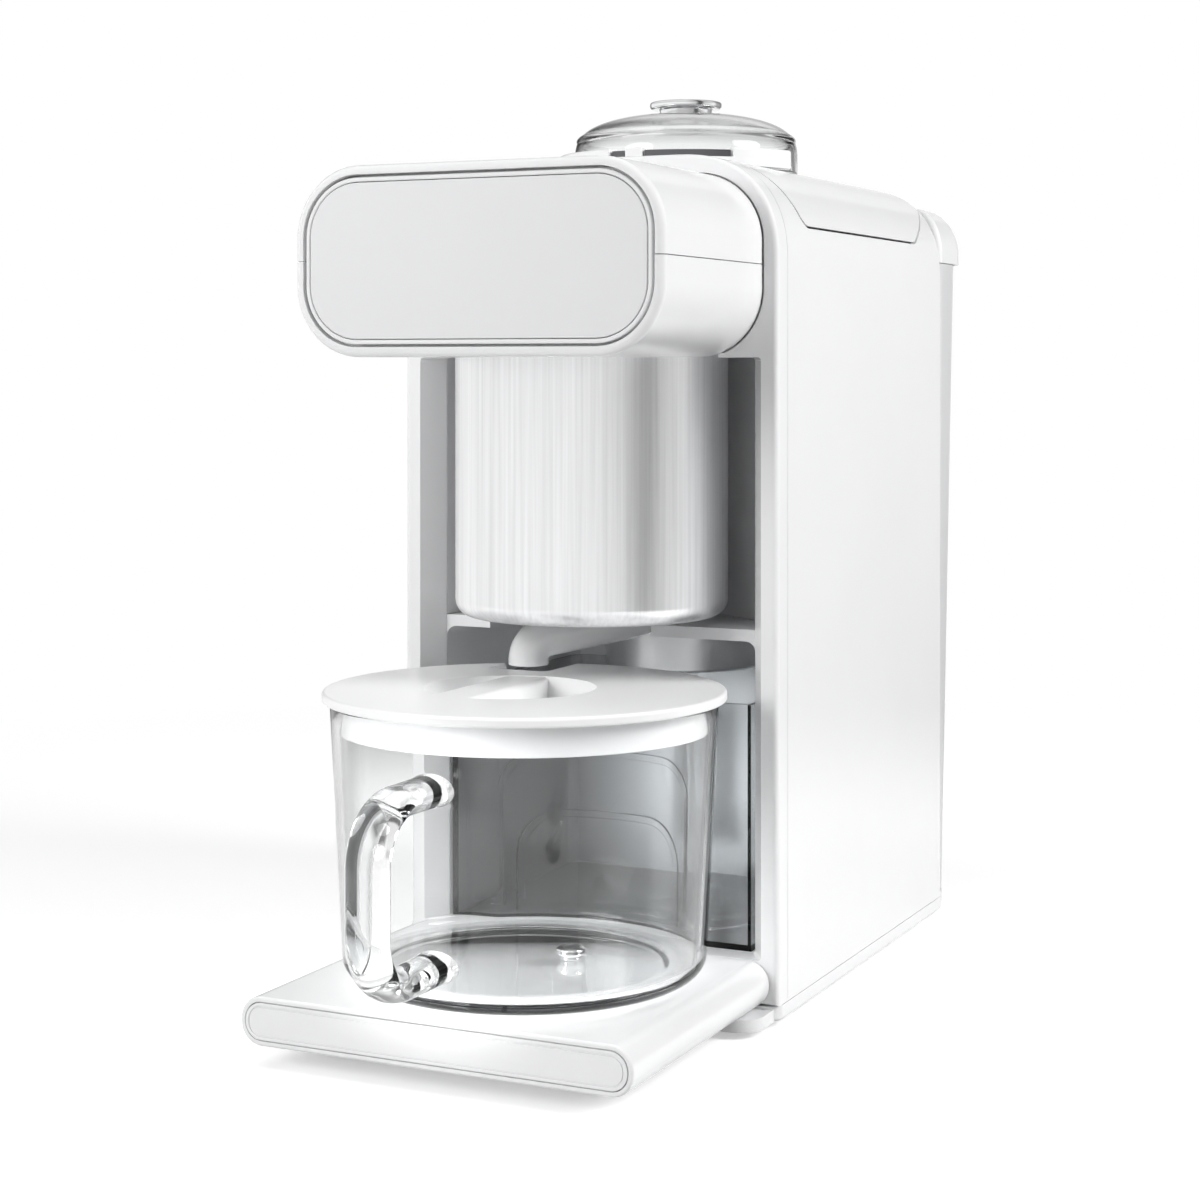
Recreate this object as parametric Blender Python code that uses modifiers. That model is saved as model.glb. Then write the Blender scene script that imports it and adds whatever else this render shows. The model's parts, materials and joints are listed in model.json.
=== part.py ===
"""Countertop soy milk maker with a swivelling spout, a glass jug and a rear water tank.

Metres, +Z up, +Y to the rear. The origin lies on the worktop, under the middle of the
object's box. Depths are counted to the rear from the front plane of the body, and
`rear(depth)` turns a depth into a Y coordinate.
"""

import bmesh
import bpy
from math import acos, cos, degrees, pi, radians, sin
from mathutils import Matrix, Vector

# Clearances and cutting
CLEAR = 0.0003          # between pieces that touch on the real object
SLIDE_CLEAR = 0.0010    # between pieces that slide past each other
OVERRUN = 0.0040        # how far a cutter reaches past the face that it cuts
MERGE = 0.00001         # welding distance
EDGE = 0.0012           # small rounded edge

# How finely round shapes are drawn
FINE = 48
PLAIN = 32
COARSE = 16
SPOUT_SIDES = 20
CORNER_STEPS = 5
ARCH_STEPS = 7
BEND_STEPS = 6

# Body
BODY_WIDTH = 0.1780
BODY_TOP = 0.3660
ARCH_CORNER = 0.0465
ARCH_BEND_SHARE = 0.83
ROUND_SHARE = 1.0
HALF_SHARE = 0.5
WALL = 0.0025
FOOT_HEIGHT = 0.0030
BASE_THICK = 0.0068
BASE_CORNER = 0.0255
BASE_FRONT_CORNER = 0.0068
TONGUE_REACH = 0.0205
TONGUE_SIDE = 0.0025
TONGUE_WIDTH = BODY_WIDTH - 2 * TONGUE_SIDE
TONGUE_THICK = 0.0052
TONGUE_CORNER = 0.0110
FRAME_DEPTH = 0.0115
FRAME_BAND = 0.0075
FRAME_ROUND = 0.0020

# Jug
JUG_SIDE = 0.0094
JUG_TAPER = 0.0055
JUG_SET_IN = 0.0233
JUG_TOP_RADIUS = BODY_WIDTH * HALF_SHARE - JUG_SIDE
JUG_FOOT_RADIUS = JUG_TOP_RADIUS - JUG_TAPER
JUG_REACH = JUG_TOP_RADIUS - JUG_SET_IN
JUG_TOP = 0.1400
JUG_WALL = 0.0026
JUG_FLOOR = 0.0050
JUG_CORNER = 0.0080
HANDLE_REACH = 0.0450
HANDLE_THICK = 0.0120
HANDLE_STRETCH_SHARE = 1.50
HANDLE_TOP_DROP = 0.0250
HANDLE_HEIGHT = 0.0680
HANDLE_BEND = 0.0220
STUD_RADIUS = 0.0060
STUD_HEIGHT = 0.0050
STUD_ASIDE = 0.0170
STUD_BEHIND = 0.0080
JUG_LID_RIM = 0.0032
JUG_LID_RADIUS = JUG_TOP_RADIUS + JUG_LID_RIM
JUG_LID_THICK = 0.0040
JUG_LID_SKIRT = 0.0120
JUG_LID_SHEET = 0.0020
WELL_RADIUS = 0.0360
WELL_FOOT_SHARE = 0.94
WELL_DEPTH = 0.0095
WELL_X = -0.0070
GRIP_WIDTH = 0.0200
GRIP_X = -0.0170
NOTCH_WIDTH = 0.0300
NOTCH_FRONT = 0.0125
NOTCH_CORNER = 0.0040

# Tray in front of the body
TRAY_SIDE = 0.0038
TRAY_WIDTH = BODY_WIDTH - 2 * TRAY_SIDE
TRAY_REACH = JUG_REACH + JUG_TOP_RADIUS
TRAY_BOTTOM = 0.0088
TRAY_TRIM_RIM = 0.0024
TRAY_TRIM_THICK = 0.0020
TRAY_TRIM_PROUD = 0.0002

# Head
HEAD_SIDE = 0.0068
HEAD_WIDTH = BODY_WIDTH - 2 * HEAD_SIDE
HEAD_REACH = 0.1014
HEAD_DROP = 0.0088
HEAD_HEIGHT = 0.0774
HEAD_SEAM_RISE = 0.0388
HEAD_TOP = BODY_TOP - HEAD_DROP
HEAD_BOTTOM = HEAD_TOP - HEAD_HEIGHT
HEAD_SEAM = HEAD_BOTTOM + HEAD_SEAM_RISE
HEAD_CORNER = 0.0290
HEAD_ROUND = 0.0030
FACE_RIM = 0.0040
FACE_GROOVE = 0.0007
FACE_RING = 0.0018
FACE_THICK = 0.0030
FACE_SET_BACK = 0.0004
PANEL_WIDTH = 0.0960
PANEL_DEPTH = 0.0640
PANEL_THICK = 0.0016
PANEL_CORNER = 0.0060
PANEL_BACK = 0.0180

# Top cover
COVER_FRONT = 0.0180
COVER_SHOULDER = 0.0365
COVER_DROP = 0.0295
COVER_SEAM = BODY_TOP - COVER_DROP
COVER_REAR_INSET = 0.0377
COVER_SLOPE = 0.0460
SEAM_CORNER = 0.0060
SEAM_GAP = 0.0006

# Mixing chamber under the head
CHAMBER_DEPTH = 0.0070
SLEEVE_SIDE = 0.0299
SLEEVE_RADIUS = BODY_WIDTH * HALF_SHARE - SLEEVE_SIDE
SLEEVE_WALL = 0.0010
SLEEVE_LENGTH = 0.1113
SLEEVE_BOTTOM = HEAD_BOTTOM - SLEEVE_LENGTH
SLEEVE_ROUND = 0.0075
SLEEVE_FLANGE = 0.0034
POT_SET_IN = 0.0091
POT_RADIUS = SLEEVE_RADIUS - POT_SET_IN
POT_WALL = 0.0012
POT_RISE = 0.0155
POT_BOTTOM = SLEEVE_BOTTOM + POT_RISE
POT_CORNER = 0.0060
POT_FLANGE = 0.0090
LID_THICK = 0.0020
VALVE_RADIUS = 0.0115

# Grinding unit: cup, blade, motor and dome lid share one axis
GRINDER_BEHIND = 0.0445
GRINDER_DEPTH = CHAMBER_DEPTH + SLEEVE_RADIUS + GRINDER_BEHIND
CUP_SIDE = 0.0420
CUP_TAPER = 0.0090
CUP_RADIUS = BODY_WIDTH * HALF_SHARE - CUP_SIDE
CUP_FOOT_RADIUS = CUP_RADIUS - CUP_TAPER
CUP_WALL = 0.0012
CUP_DEPTH = 0.1040
CUP_BOTTOM = BODY_TOP - CUP_DEPTH
CUP_RIM = 0.0025
CUP_CORNER = 0.0080
SHAFT_RADIUS = 0.0035
SHAFT_HOLE = 0.0045
SHAFT_RISE = 0.0105
SHAFT_TOP = CUP_BOTTOM + SHAFT_RISE
BLADE_SHORT = 0.0080
BLADE_LENGTH = CUP_FOOT_RADIUS - BLADE_SHORT
BLADE_WIDTH = 0.0090
BLADE_THICK = 0.0016
BLADE_PITCH_DEG = 18.0
BLADE_COUNT = 4
BLADE_TIP_SHARE = 0.35
HUB_RADIUS = 0.0065
HUB_HEIGHT = 0.0070
SUPPORT_RADIUS = CUP_FOOT_RADIUS - BLADE_SHORT
SUPPORT_HEIGHT = 0.0100
MOTOR_RADIUS = 0.0378
MOTOR_WALL = 0.0020
MOTOR_HEIGHT = 0.1167
MOTOR_TOP = CUP_BOTTOM - SUPPORT_HEIGHT
MOTOR_BOTTOM = MOTOR_TOP - MOTOR_HEIGHT
MOTOR_CORNER = 0.0020
STATOR_INNER = 0.0245
STATOR_END = 0.0195
STATOR_BOTTOM = MOTOR_BOTTOM + STATOR_END
STATOR_TOP = MOTOR_TOP - STATOR_END
ROTOR_GAP = 0.0010
ROTOR_RADIUS = STATOR_INNER - ROTOR_GAP
ROTOR_SHORTER = 0.0030
GASKET_WIDTH = 0.0060
GASKET_THICK = 0.0020
DOME_RIM = 0.0057
DOME_RADIUS = CUP_RADIUS + DOME_RIM
DOME_WALL = 0.0022
DOME_HEIGHT = 0.0290
DOME_SHOULDER = 0.0233
DOME_ACROSS_SHARE = 0.97
DOME_RISE_SHARE = 0.58
NECK_RADIUS = 0.0125
NECK_HEIGHT = 0.0018
KNOB_RADIUS = 0.0172
KNOB_THICK = 0.0034
COLLAR_GAP = 0.0023
COLLAR_WALL = 0.0055
COLLAR_RADIUS = DOME_RADIUS + COLLAR_GAP + COLLAR_WALL
COLLAR_HEIGHT = 0.0085
COLLAR_HALF_ANGLE_DEG = 76.0
SLOT_HEIGHT = 0.0044
SLOT_START_DEG = 4.0
SLOT_END_DEG = 44.0
SHORT_SLOT_END_DEG = 12.0

# Lower bay and upper niche
BAY_SIDE = 0.0147
BAY_WIDTH = BODY_WIDTH - 2 * BAY_SIDE
BAY_FLOOR = 0.0283
BAY_TOP = 0.1596
BAY_BEHIND_MOTOR = 0.0016
BAY_DEPTH = GRINDER_DEPTH + MOTOR_RADIUS + BAY_BEHIND_MOTOR
SERVICE_BEHIND_BAY = 0.0350
SERVICE_DEPTH = BAY_DEPTH + SERVICE_BEHIND_BAY
BODY_BEHIND_SERVICE = 0.0427
BODY_DEPTH = SERVICE_DEPTH + BODY_BEHIND_SERVICE
COVER_REAR = BODY_DEPTH - COVER_REAR_INSET
BAY_CORNER = 0.0100
BAY_FOOT_CORNER = 0.0015
BAY_ROOF = 0.0050
BAY_WALL = 0.0022
NICHE_BEHIND = 0.0024
NICHE_DEPTH = CHAMBER_DEPTH + SLEEVE_RADIUS + NICHE_BEHIND
NICHE_WALL = 0.0015

# Spout: its pivot is placed from the chamber's axis, its mouth from the pivot
PIVOT_X = 0.0140
PIVOT_INSET = 0.0241
PIVOT_DEPTH = CHAMBER_DEPTH + SLEEVE_RADIUS - PIVOT_INSET
SPOUT_RADIUS = 0.0088
SPOUT_WALL = 0.0022
SPOUT_DROP = 0.0070
SPOUT_HEIGHT = 0.0319
SPOUT_TOP = POT_BOTTOM - SPOUT_DROP
SPOUT_TIP = SPOUT_TOP - SPOUT_HEIGHT
SPOUT_ACROSS = 0.0440
SPOUT_FORWARD = 0.0365
SPOUT_ELBOW = 0.0125
SPOUT_MOUTH = 0.0095
SPOUT_SHARES = ((0.0, 0.0), (0.36, 0.05), (0.68, 0.16), (0.92, 0.44), (1.0, 0.75), (1.0, 1.0))

# Waste water box
BOX_SIDE = 0.0018
BOX_WIDTH = BAY_WIDTH - 2 * BOX_SIDE
BOX_DROP = 0.0070
BOX_TOP = JUG_TOP - BOX_DROP
BOX_REAR_GAP = 0.0100
BOX_REAR = BAY_DEPTH - BOX_REAR_GAP
BOX_WALL = 0.0022
BOX_CORNER = 0.0080
BOX_JUG_GAP = 0.0040
RIB_PROUD = 0.0012
RIB_WIDTH = 0.0030
RIB_OUTER_SIDE = 0.0235
RIB_INNER_SIDE = 0.0315
RIB_OUTER_WIDTH = BOX_WIDTH - 2 * RIB_OUTER_SIDE
RIB_OUTER_HEIGHT = 0.0750
RIB_INNER_WIDTH = BOX_WIDTH - 2 * RIB_INNER_SIDE
RIB_INNER_HEIGHT = 0.0480
RIB_CORNER = 0.0200

# Tank
TANK_DEPTH = 0.0533
TANK_BACK = BODY_DEPTH + TANK_DEPTH
TANK_SIDE = 0.0002
TANK_TAPER = 0.0033
TANK_TOP_WIDTH = BODY_WIDTH - 2 * TANK_SIDE
TANK_FOOT_WIDTH = TANK_TOP_WIDTH - 2 * TANK_TAPER
TANK_LEAN = 0.0200
TANK_CORNER = 0.0250
TANK_FRONT_CORNER = 0.0030
TANK_WALL = 0.0022
TANK_SEAM_DROP = 0.0380
TANK_LID_DROP = 0.0095
TANK_SEAM = BODY_TOP - TANK_SEAM_DROP
TANK_LID_TOP = BODY_TOP - TANK_LID_DROP
TANK_LID_ROUND = 0.0240
TANK_LID_INSET_SHARE = 0.8
SHELF_RIM = 0.0005
SHELF_WIDTH = TANK_FOOT_WIDTH + 2 * SHELF_RIM
SHELF_BACK = TANK_BACK - TANK_LEAN + SHELF_RIM
SPIGOT_RADIUS = 0.0042
VALVE_BORE = 0.0055
VALVE_BODY = 0.0085
VALVE_FLANGE = 0.0115
VALVE_HEIGHT = 0.0110

# Water path and electrics inside the body
SERVICE_SIDE = 0.0410
SERVICE_X = BODY_WIDTH * HALF_SHARE - SERVICE_SIDE
PUMP_RADIUS = 0.0175
PUMP_HEIGHT = 0.0520
HEATER_RADIUS = 0.0200
HEATER_HEIGHT = 0.1250
TUBE_RADIUS = 0.0035
BOARD_THICK = 0.0016
PART_HEIGHT = 0.0120
POWER_BOARD_WIDTH = 0.0900
POWER_BOARD_HEIGHT = 0.0900
POWER_BOARD_DROP = 0.0860
POWER_BOARD_LOW = BODY_TOP - POWER_BOARD_DROP - POWER_BOARD_HEIGHT
CONTROL_BOARD_WIDTH = 0.0880
CONTROL_BOARD_DEPTH = 0.0560
POST_RADIUS = 0.0030
INLET_WIDTH = 0.0280
INLET_HEIGHT = 0.0210
INLET_DEPTH = 0.0220
INLET_CAVITY = 0.0160
INLET_WALL = 0.0030
INLET_Z = 0.0450
PIN_WIDTH = 0.0040
PIN_HEIGHT = 0.0020
PIN_SPACING = 0.0070

# Feet
FOOT_RADIUS = 0.0080
FOOT_INSET = 0.0220
TRAY_FOOT_INSET = 0.0350
TRAY_FOOT_SIDE = 0.0340

BASE_TOP = FOOT_HEIGHT + BASE_THICK
HANDLE_FRONT = JUG_REACH + JUG_TOP_RADIUS + HANDLE_REACH + HANDLE_THICK * HALF_SHARE
FRONT_Y = (HANDLE_FRONT - TANK_BACK) * HALF_SHARE
GRINDER = (0.0, FRONT_Y + GRINDER_DEPTH)
CHAMBER = (0.0, FRONT_Y + CHAMBER_DEPTH)
PIVOT = (PIVOT_X, FRONT_Y + PIVOT_DEPTH)
JUG = (0.0, FRONT_Y - JUG_REACH)
JUG_BOTTOM = BAY_FLOOR + CLEAR

PARTS = "soy_milk_maker"
CUTTERS = "cutters"

COLOURS = {
    "white_gloss": ((0.90, 0.90, 0.90), 0.18, 0.0, 1.0),
    "white_satin": ((0.84, 0.84, 0.85), 0.38, 0.0, 1.0),
    "pale_grey": ((0.72, 0.73, 0.74), 0.35, 0.0, 1.0),
    "clear_glass": ((0.93, 0.95, 0.95), 0.03, 0.0, 0.3),
    "clear_plastic": ((0.90, 0.92, 0.92), 0.10, 0.0, 0.35),
    "milky_plastic": ((0.93, 0.94, 0.94), 0.30, 0.0, 0.8),
    "brushed_steel": ((0.75, 0.75, 0.76), 0.30, 1.0, 1.0),
    "polished_steel": ((0.82, 0.82, 0.83), 0.10, 1.0, 1.0),
    "cast_aluminium": ((0.70, 0.70, 0.71), 0.40, 1.0, 1.0),
    "dark_rubber": ((0.06, 0.06, 0.06), 0.80, 0.0, 1.0),
    "silicone": ((0.78, 0.80, 0.80), 0.60, 0.0, 1.0),
    "circuit_green": ((0.05, 0.28, 0.14), 0.50, 0.0, 1.0),
    "dark_iron": ((0.20, 0.20, 0.21), 0.50, 1.0, 1.0),
    "black_plastic": ((0.04, 0.04, 0.04), 0.40, 0.0, 1.0),
}


def rear(depth):
    """Y coordinate of a place this far behind the front plane of the body."""
    return FRONT_Y + depth


def clear_scene():
    for obj in list(bpy.data.objects):
        bpy.data.objects.remove(obj, do_unlink=True)


def collection(name):
    found = bpy.data.collections.get(name)
    if found is None:
        found = bpy.data.collections.new(name)
        bpy.context.scene.collection.children.link(found)
    return found


def material(name):
    found = bpy.data.materials.get(name)
    if found is not None:
        return found
    colour, roughness, metallic, alpha = COLOURS[name]
    made = bpy.data.materials.new(name)
    made.use_nodes = True
    shader = made.node_tree.nodes["Principled BSDF"]
    shader.inputs["Base Color"].default_value = (*colour, 1.0)
    shader.inputs["Roughness"].default_value = roughness
    shader.inputs["Metallic"].default_value = metallic
    shader.inputs["Alpha"].default_value = alpha
    made.diffuse_color = (*colour, alpha)
    return made


# Outlines, as lists of 2D points, anticlockwise


def corner(centre, radius, start_deg, steps=CORNER_STEPS, share=ROUND_SHARE):
    """Quarter of a rounded corner, starting at start_deg; a share under 1 makes it squarer."""
    points = []
    for step in range(steps + 1):
        angle = radians(start_deg + 90.0 * step / steps)
        x, y = cos(angle), sin(angle)
        across = abs(x) ** share * (1 if x >= 0 else -1)
        along = abs(y) ** share * (1 if y >= 0 else -1)
        points.append((centre[0] + radius * across, centre[1] + radius * along))
    return points


def rounded(low, high, radii, steps=CORNER_STEPS):
    """Rectangle from low to high with four corner radii: low left, low right, high right, high left."""
    places = (
        (low[0], low[1], 1, 1, 180),
        (high[0], low[1], -1, 1, 270),
        (high[0], high[1], -1, -1, 0),
        (low[0], high[1], 1, -1, 90),
    )
    points = []
    for (x, y, right, up, start), radius in zip(places, radii):
        centre = (x + right * radius, y + up * radius)
        points += corner(centre, radius, start, steps)
    return points


def box_outline(half_width, low, high, radius, steps=CORNER_STEPS):
    return rounded((-half_width, low), (half_width, high), (radius,) * 4, steps)


def arch(inset=0.0, bottom=BASE_TOP):
    """Front outline of the body: square at the foot, rounded at the top."""
    half = BODY_WIDTH * HALF_SHARE - inset
    top = BODY_TOP - inset
    radius = ARCH_CORNER - inset
    points = [(-half, bottom), (half, bottom)]
    points += corner((half - radius, top - radius), radius, 0, ARCH_STEPS, ARCH_BEND_SHARE)
    points += corner((radius - half, top - radius), radius, 90, ARCH_STEPS, ARCH_BEND_SHARE)
    return points


def bay_outline(half_width):
    """Opening of the lower bay: nearly square at the floor, rounded under the roof."""
    radii = (BAY_FOOT_CORNER, BAY_FOOT_CORNER, BAY_CORNER, BAY_CORNER)
    return rounded((-half_width, BAY_FLOOR), (half_width, BAY_TOP), radii)


def head_outline(inset=0.0):
    return box_outline(
        HEAD_WIDTH * HALF_SHARE - inset, HEAD_BOTTOM + inset, HEAD_TOP - inset, HEAD_CORNER - inset
    )


def stadium(inset=0.0):
    """Front outline of the tray, whose ends are half round."""
    radius = (BAY_FLOOR - TRAY_BOTTOM) * HALF_SHARE - inset
    return box_outline(TRAY_WIDTH * HALF_SHARE - inset, TRAY_BOTTOM + inset, BAY_FLOOR - inset, radius)


# Solids


def link(obj, group, colour=None):
    collection(group).objects.link(obj)
    if colour:
        obj.data.materials.clear()
        obj.data.materials.append(material(colour))
    return obj


def cutter(obj):
    """Moves a solid out of the model, to serve only as the tool of a Boolean."""
    for group in list(obj.users_collection):
        group.objects.unlink(obj)
    collection(CUTTERS).objects.link(obj)
    obj.hide_render = True
    obj.display_type = "WIRE"
    return obj


def from_bmesh(name, work, colour):
    mesh = bpy.data.meshes.new(name)
    work.to_mesh(mesh)
    work.free()
    return link(bpy.data.objects.new(name, mesh), PARTS, colour)


def block(name, low, high, colour="white_gloss"):
    work = bmesh.new()
    bmesh.ops.create_cube(work, size=1.0)
    size = Vector(high) - Vector(low)
    bmesh.ops.scale(work, vec=size, verts=work.verts)
    made = from_bmesh(name, work, colour)
    made.location = (Vector(high) + Vector(low)) * HALF_SHARE
    return made


def disc(name, place, radius, low, high, colour="white_gloss", sides=FINE, top_radius=None):
    work = bmesh.new()
    bmesh.ops.create_cone(
        work,
        cap_ends=True,
        segments=sides,
        radius1=radius,
        radius2=radius if top_radius is None else top_radius,
        depth=high - low,
    )
    made = from_bmesh(name, work, colour)
    made.location = (place[0], place[1], (low + high) * HALF_SHARE)
    return smooth(made)


def smooth(obj, angle_deg=35.0):
    obj.data.shade_smooth()
    obj.data.set_sharp_from_angle(angle=radians(angle_deg))
    return obj


def mesh_of(curve_object, name, colour):
    """The curve's solid as a mesh object in the same place, with its caps welded on."""
    bpy.context.view_layer.update()
    graph = bpy.context.evaluated_depsgraph_get()
    mesh = bpy.data.meshes.new_from_object(curve_object.evaluated_get(graph))
    work = bmesh.new()
    work.from_mesh(mesh)
    bmesh.ops.remove_doubles(work, verts=work.verts, dist=MERGE)
    bmesh.ops.recalc_face_normals(work, faces=work.faces)
    work.to_mesh(mesh)
    work.free()
    made = bpy.data.objects.new(name, mesh)
    made.matrix_world = curve_object.matrix_world.copy()
    link(made, PARTS, colour)
    bpy.data.objects.remove(curve_object, do_unlink=True)
    made.data.name = name
    return smooth(made)


AXES = {
    "X": Matrix(((0, 0, 1), (1, 0, 0), (0, 1, 0))).to_4x4(),
    "Y": Matrix(((1, 0, 0), (0, 0, -1), (0, 1, 0))).to_4x4(),
    "Z": Matrix.Identity(4),
}


def prism(name, outline, axis, low, high, colour="white_gloss"):
    """Flat outline drawn out along an axis: (Y, Z) along X, (X, Z) along Y, or (X, Y) along Z."""
    data = bpy.data.curves.new(name, "CURVE")
    data.dimensions = "2D"
    data.fill_mode = "BOTH"
    data.extrude = (high - low) * HALF_SHARE
    spline = data.splines.new("POLY")
    spline.points.add(len(outline) - 1)
    for point, (x, y) in zip(spline.points, outline):
        point.co = (x, y, 0.0, 1.0)
    spline.use_cyclic_u = True
    guide = bpy.data.objects.new(name + "_outline", data)
    collection(PARTS).objects.link(guide)
    middle = (low + high) * HALF_SHARE
    shift = {"X": (middle, 0, 0), "Y": (0, middle, 0), "Z": (0, 0, middle)}[axis]
    guide.matrix_world = Matrix.Translation(shift) @ AXES[axis]
    return mesh_of(guide, name, colour)


def turned(name, place, profile, colour="white_gloss", steps=FINE, closed=False):
    """Profile of (radius, height) turned about a vertical axis at place."""
    mesh = bpy.data.meshes.new(name)
    edges = [(n, n + 1) for n in range(len(profile) - 1)]
    if closed:
        edges.append((len(profile) - 1, 0))
    mesh.from_pydata([(radius, 0.0, height) for radius, height in profile], edges, [])
    made = link(bpy.data.objects.new(name, mesh), PARTS, colour)
    made.location = (place[0], place[1], 0.0)
    screw = made.modifiers.new("turn", "SCREW")
    screw.steps = steps
    screw.render_steps = steps
    screw.use_merge_vertices = True
    screw.merge_threshold = MERGE
    screw.use_smooth_shade = True
    return made


def arc(centre, radius, start_deg, end_deg, steps=CORNER_STEPS):
    """Points of a round stretch in a profile."""
    points = []
    for step in range(steps + 1):
        angle = radians(start_deg + (end_deg - start_deg) * step / steps)
        points.append((centre[0] + radius * cos(angle), centre[1] + radius * sin(angle)))
    return points


def smooth_route(points, steps=BEND_STEPS):
    """Catmull-Rom curve through the points."""
    ends = [points[0], *points, points[-1]]
    route = []
    for before, start, end, after in zip(ends, ends[1:], ends[2:], ends[3:]):
        for step in range(steps):
            t = step / steps
            route.append(
                tuple(
                    HALF_SHARE * (2 * b + (c - a) * t + (2 * a - 5 * b + 4 * c - d) * t**2
                           + (3 * b - a - 3 * c + d) * t**3)
                    for a, b, c, d in zip(before, start, end, after)
                )
            )
    return [*route, points[-1]]


def led_route(points, steps=4):
    """Smooth route whose first and last stretch stay straight."""
    return [points[0], *smooth_route(points[1:-1], steps), points[-1]]


def tube(name, points, radius, colour="silicone", resolution=2):
    """Round solid rod along the points."""
    data = bpy.data.curves.new(name, "CURVE")
    data.dimensions = "3D"
    data.bevel_depth = radius
    data.bevel_resolution = resolution
    data.use_fill_caps = True
    spline = data.splines.new("POLY")
    spline.points.add(len(points) - 1)
    for point, place in zip(spline.points, points):
        point.co = (*place, 1.0)
    guide = bpy.data.objects.new(name + "_route", data)
    collection(PARTS).objects.link(guide)
    return mesh_of(guide, name, colour)


def loft(name, sections, colour="white_gloss"):
    """Closed skin over rings of points that have the same count and turn the same way."""
    work = bmesh.new()
    rings = [[work.verts.new(point) for point in section] for section in sections]
    for ring, following in zip(rings, rings[1:]):
        for n in range(len(ring)):
            after = (n + 1) % len(ring)
            work.faces.new((ring[n], ring[after], following[after], following[n]))
    work.faces.new(rings[0])
    work.faces.new(rings[-1])
    bmesh.ops.recalc_face_normals(work, faces=work.faces)
    return smooth(from_bmesh(name, work, colour))


def boolean(target, tool, operation):
    step = target.modifiers.new(operation.lower(), "BOOLEAN")
    step.operation = operation
    step.object = cutter(tool)
    return target


def cut(target, *tools):
    for tool in tools:
        boolean(target, tool, "DIFFERENCE")
    return target


def join(target, *tools):
    for tool in tools:
        boolean(target, tool, "UNION")
    return target


def keep(target, tool):
    return boolean(target, tool, "INTERSECT")


def round_rim(obj, axis, place, width, segments=2):
    """Rounds the sharp edges of a solid that lie in the plane where the axis has this value."""
    bpy.context.view_layer.update()
    work = bmesh.new()
    work.from_mesh(obj.data)
    world = obj.matrix_world
    sharp = radians(50.0)
    edges = [
        edge
        for edge in work.edges
        if edge.calc_face_angle(0.0) > sharp
        and all(abs((world @ vert.co)[axis] - place) < MERGE * 2 for vert in edge.verts)
    ]
    bmesh.ops.bevel(
        work, geom=edges, offset=width, segments=segments, profile=0.5, affect="EDGES"
    )
    work.to_mesh(obj.data)
    work.free()
    return smooth(obj)


# Body


def base_plate():
    """Floor of the body, with a tongue under the tray and a shelf for the tank."""
    half, shelf = BODY_WIDTH * HALF_SHARE, SHELF_WIDTH * HALF_SHARE
    bend, turn = BASE_FRONT_CORNER, BASE_CORNER
    front, back, end = rear(0), rear(BODY_DEPTH), rear(SHELF_BACK)
    outline = corner((bend - half, front + bend), bend, 180)
    outline += corner((half - bend, front + bend), bend, 270)
    outline += [(half, back), (shelf, back)]
    outline += corner((shelf - turn, end - turn), turn, 0)
    outline += corner((turn - shelf, end - turn), turn, 90)
    outline += [(-shelf, back), (-half, back)]
    made = prism("base_plate", outline, "Z", FOOT_HEIGHT, BASE_TOP - CLEAR)
    tongue = rounded(
        (-TONGUE_WIDTH * HALF_SHARE, rear(-TONGUE_REACH)),
        (TONGUE_WIDTH * HALF_SHARE, rear(BASE_CORNER)),
        (TONGUE_CORNER,) * 4,
    )
    join(made, prism("tongue", tongue, "Z", FOOT_HEIGHT, FOOT_HEIGHT + TONGUE_THICK))
    spigot_low = FOOT_HEIGHT + BASE_THICK * HALF_SHARE
    spigot_top = BASE_TOP + VALVE_HEIGHT * HALF_SHARE
    spigot = disc("spigot", tank_port(), SPIGOT_RADIUS, spigot_low, spigot_top, sides=COARSE)
    return join(made, spigot)


def tank_port():
    """Where the tank's valve sits on the base."""
    return (0.0, rear(BODY_DEPTH + (TANK_BACK - TANK_LEAN - BODY_DEPTH) * HALF_SHARE))


def feet():
    """Two feet under the tray, set in so that its edge hides them, and two at the back."""
    tray_x = BODY_WIDTH * HALF_SHARE - TRAY_FOOT_SIDE
    tray_y = rear(TRAY_FOOT_INSET - TRAY_REACH)
    back_x = BODY_WIDTH * HALF_SHARE - FOOT_INSET
    back_y = rear(SHELF_BACK - FOOT_INSET - FOOT_RADIUS)
    for side, sign in (("left", -1), ("right", 1)):
        disc(f"front_foot_{side}", (sign * tray_x, tray_y), FOOT_RADIUS - EDGE, 0.0,
             TRAY_BOTTOM - CLEAR, "dark_rubber", COARSE, FOOT_RADIUS)
        disc(f"rear_foot_{side}", (sign * back_x, back_y), FOOT_RADIUS - EDGE, 0.0,
             FOOT_HEIGHT - CLEAR, "dark_rubber", COARSE, FOOT_RADIUS)


def cover_side(gap):
    """Side view of the top cover, grown by gap."""
    low = COVER_SEAM - gap
    start = COVER_SHOULDER - gap
    end = COVER_REAR + gap
    top = BODY_TOP + OVERRUN
    rise = top - low
    points = [(rear(COVER_FRONT - gap), top)]
    points += arc((rear(start + SEAM_CORNER), low + SEAM_CORNER), SEAM_CORNER, 180, 270)
    points += arc((rear(end - SEAM_CORNER), low + SEAM_CORNER), SEAM_CORNER, 270, 330)
    points.append((rear(end + COVER_SLOPE * HALF_SHARE), low + rise * HALF_SHARE))
    points.append((rear(end + COVER_SLOPE + rise * HALF_SHARE), top))
    return points


def cover_block(name, gap):
    reach = BODY_WIDTH * HALF_SHARE + OVERRUN
    return prism(name, cover_side(gap), "X", -reach, reach)


def inner_arch(name, front, back):
    return prism(name, arch(WALL, BASE_TOP - OVERRUN), "Y", front, back)


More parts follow.
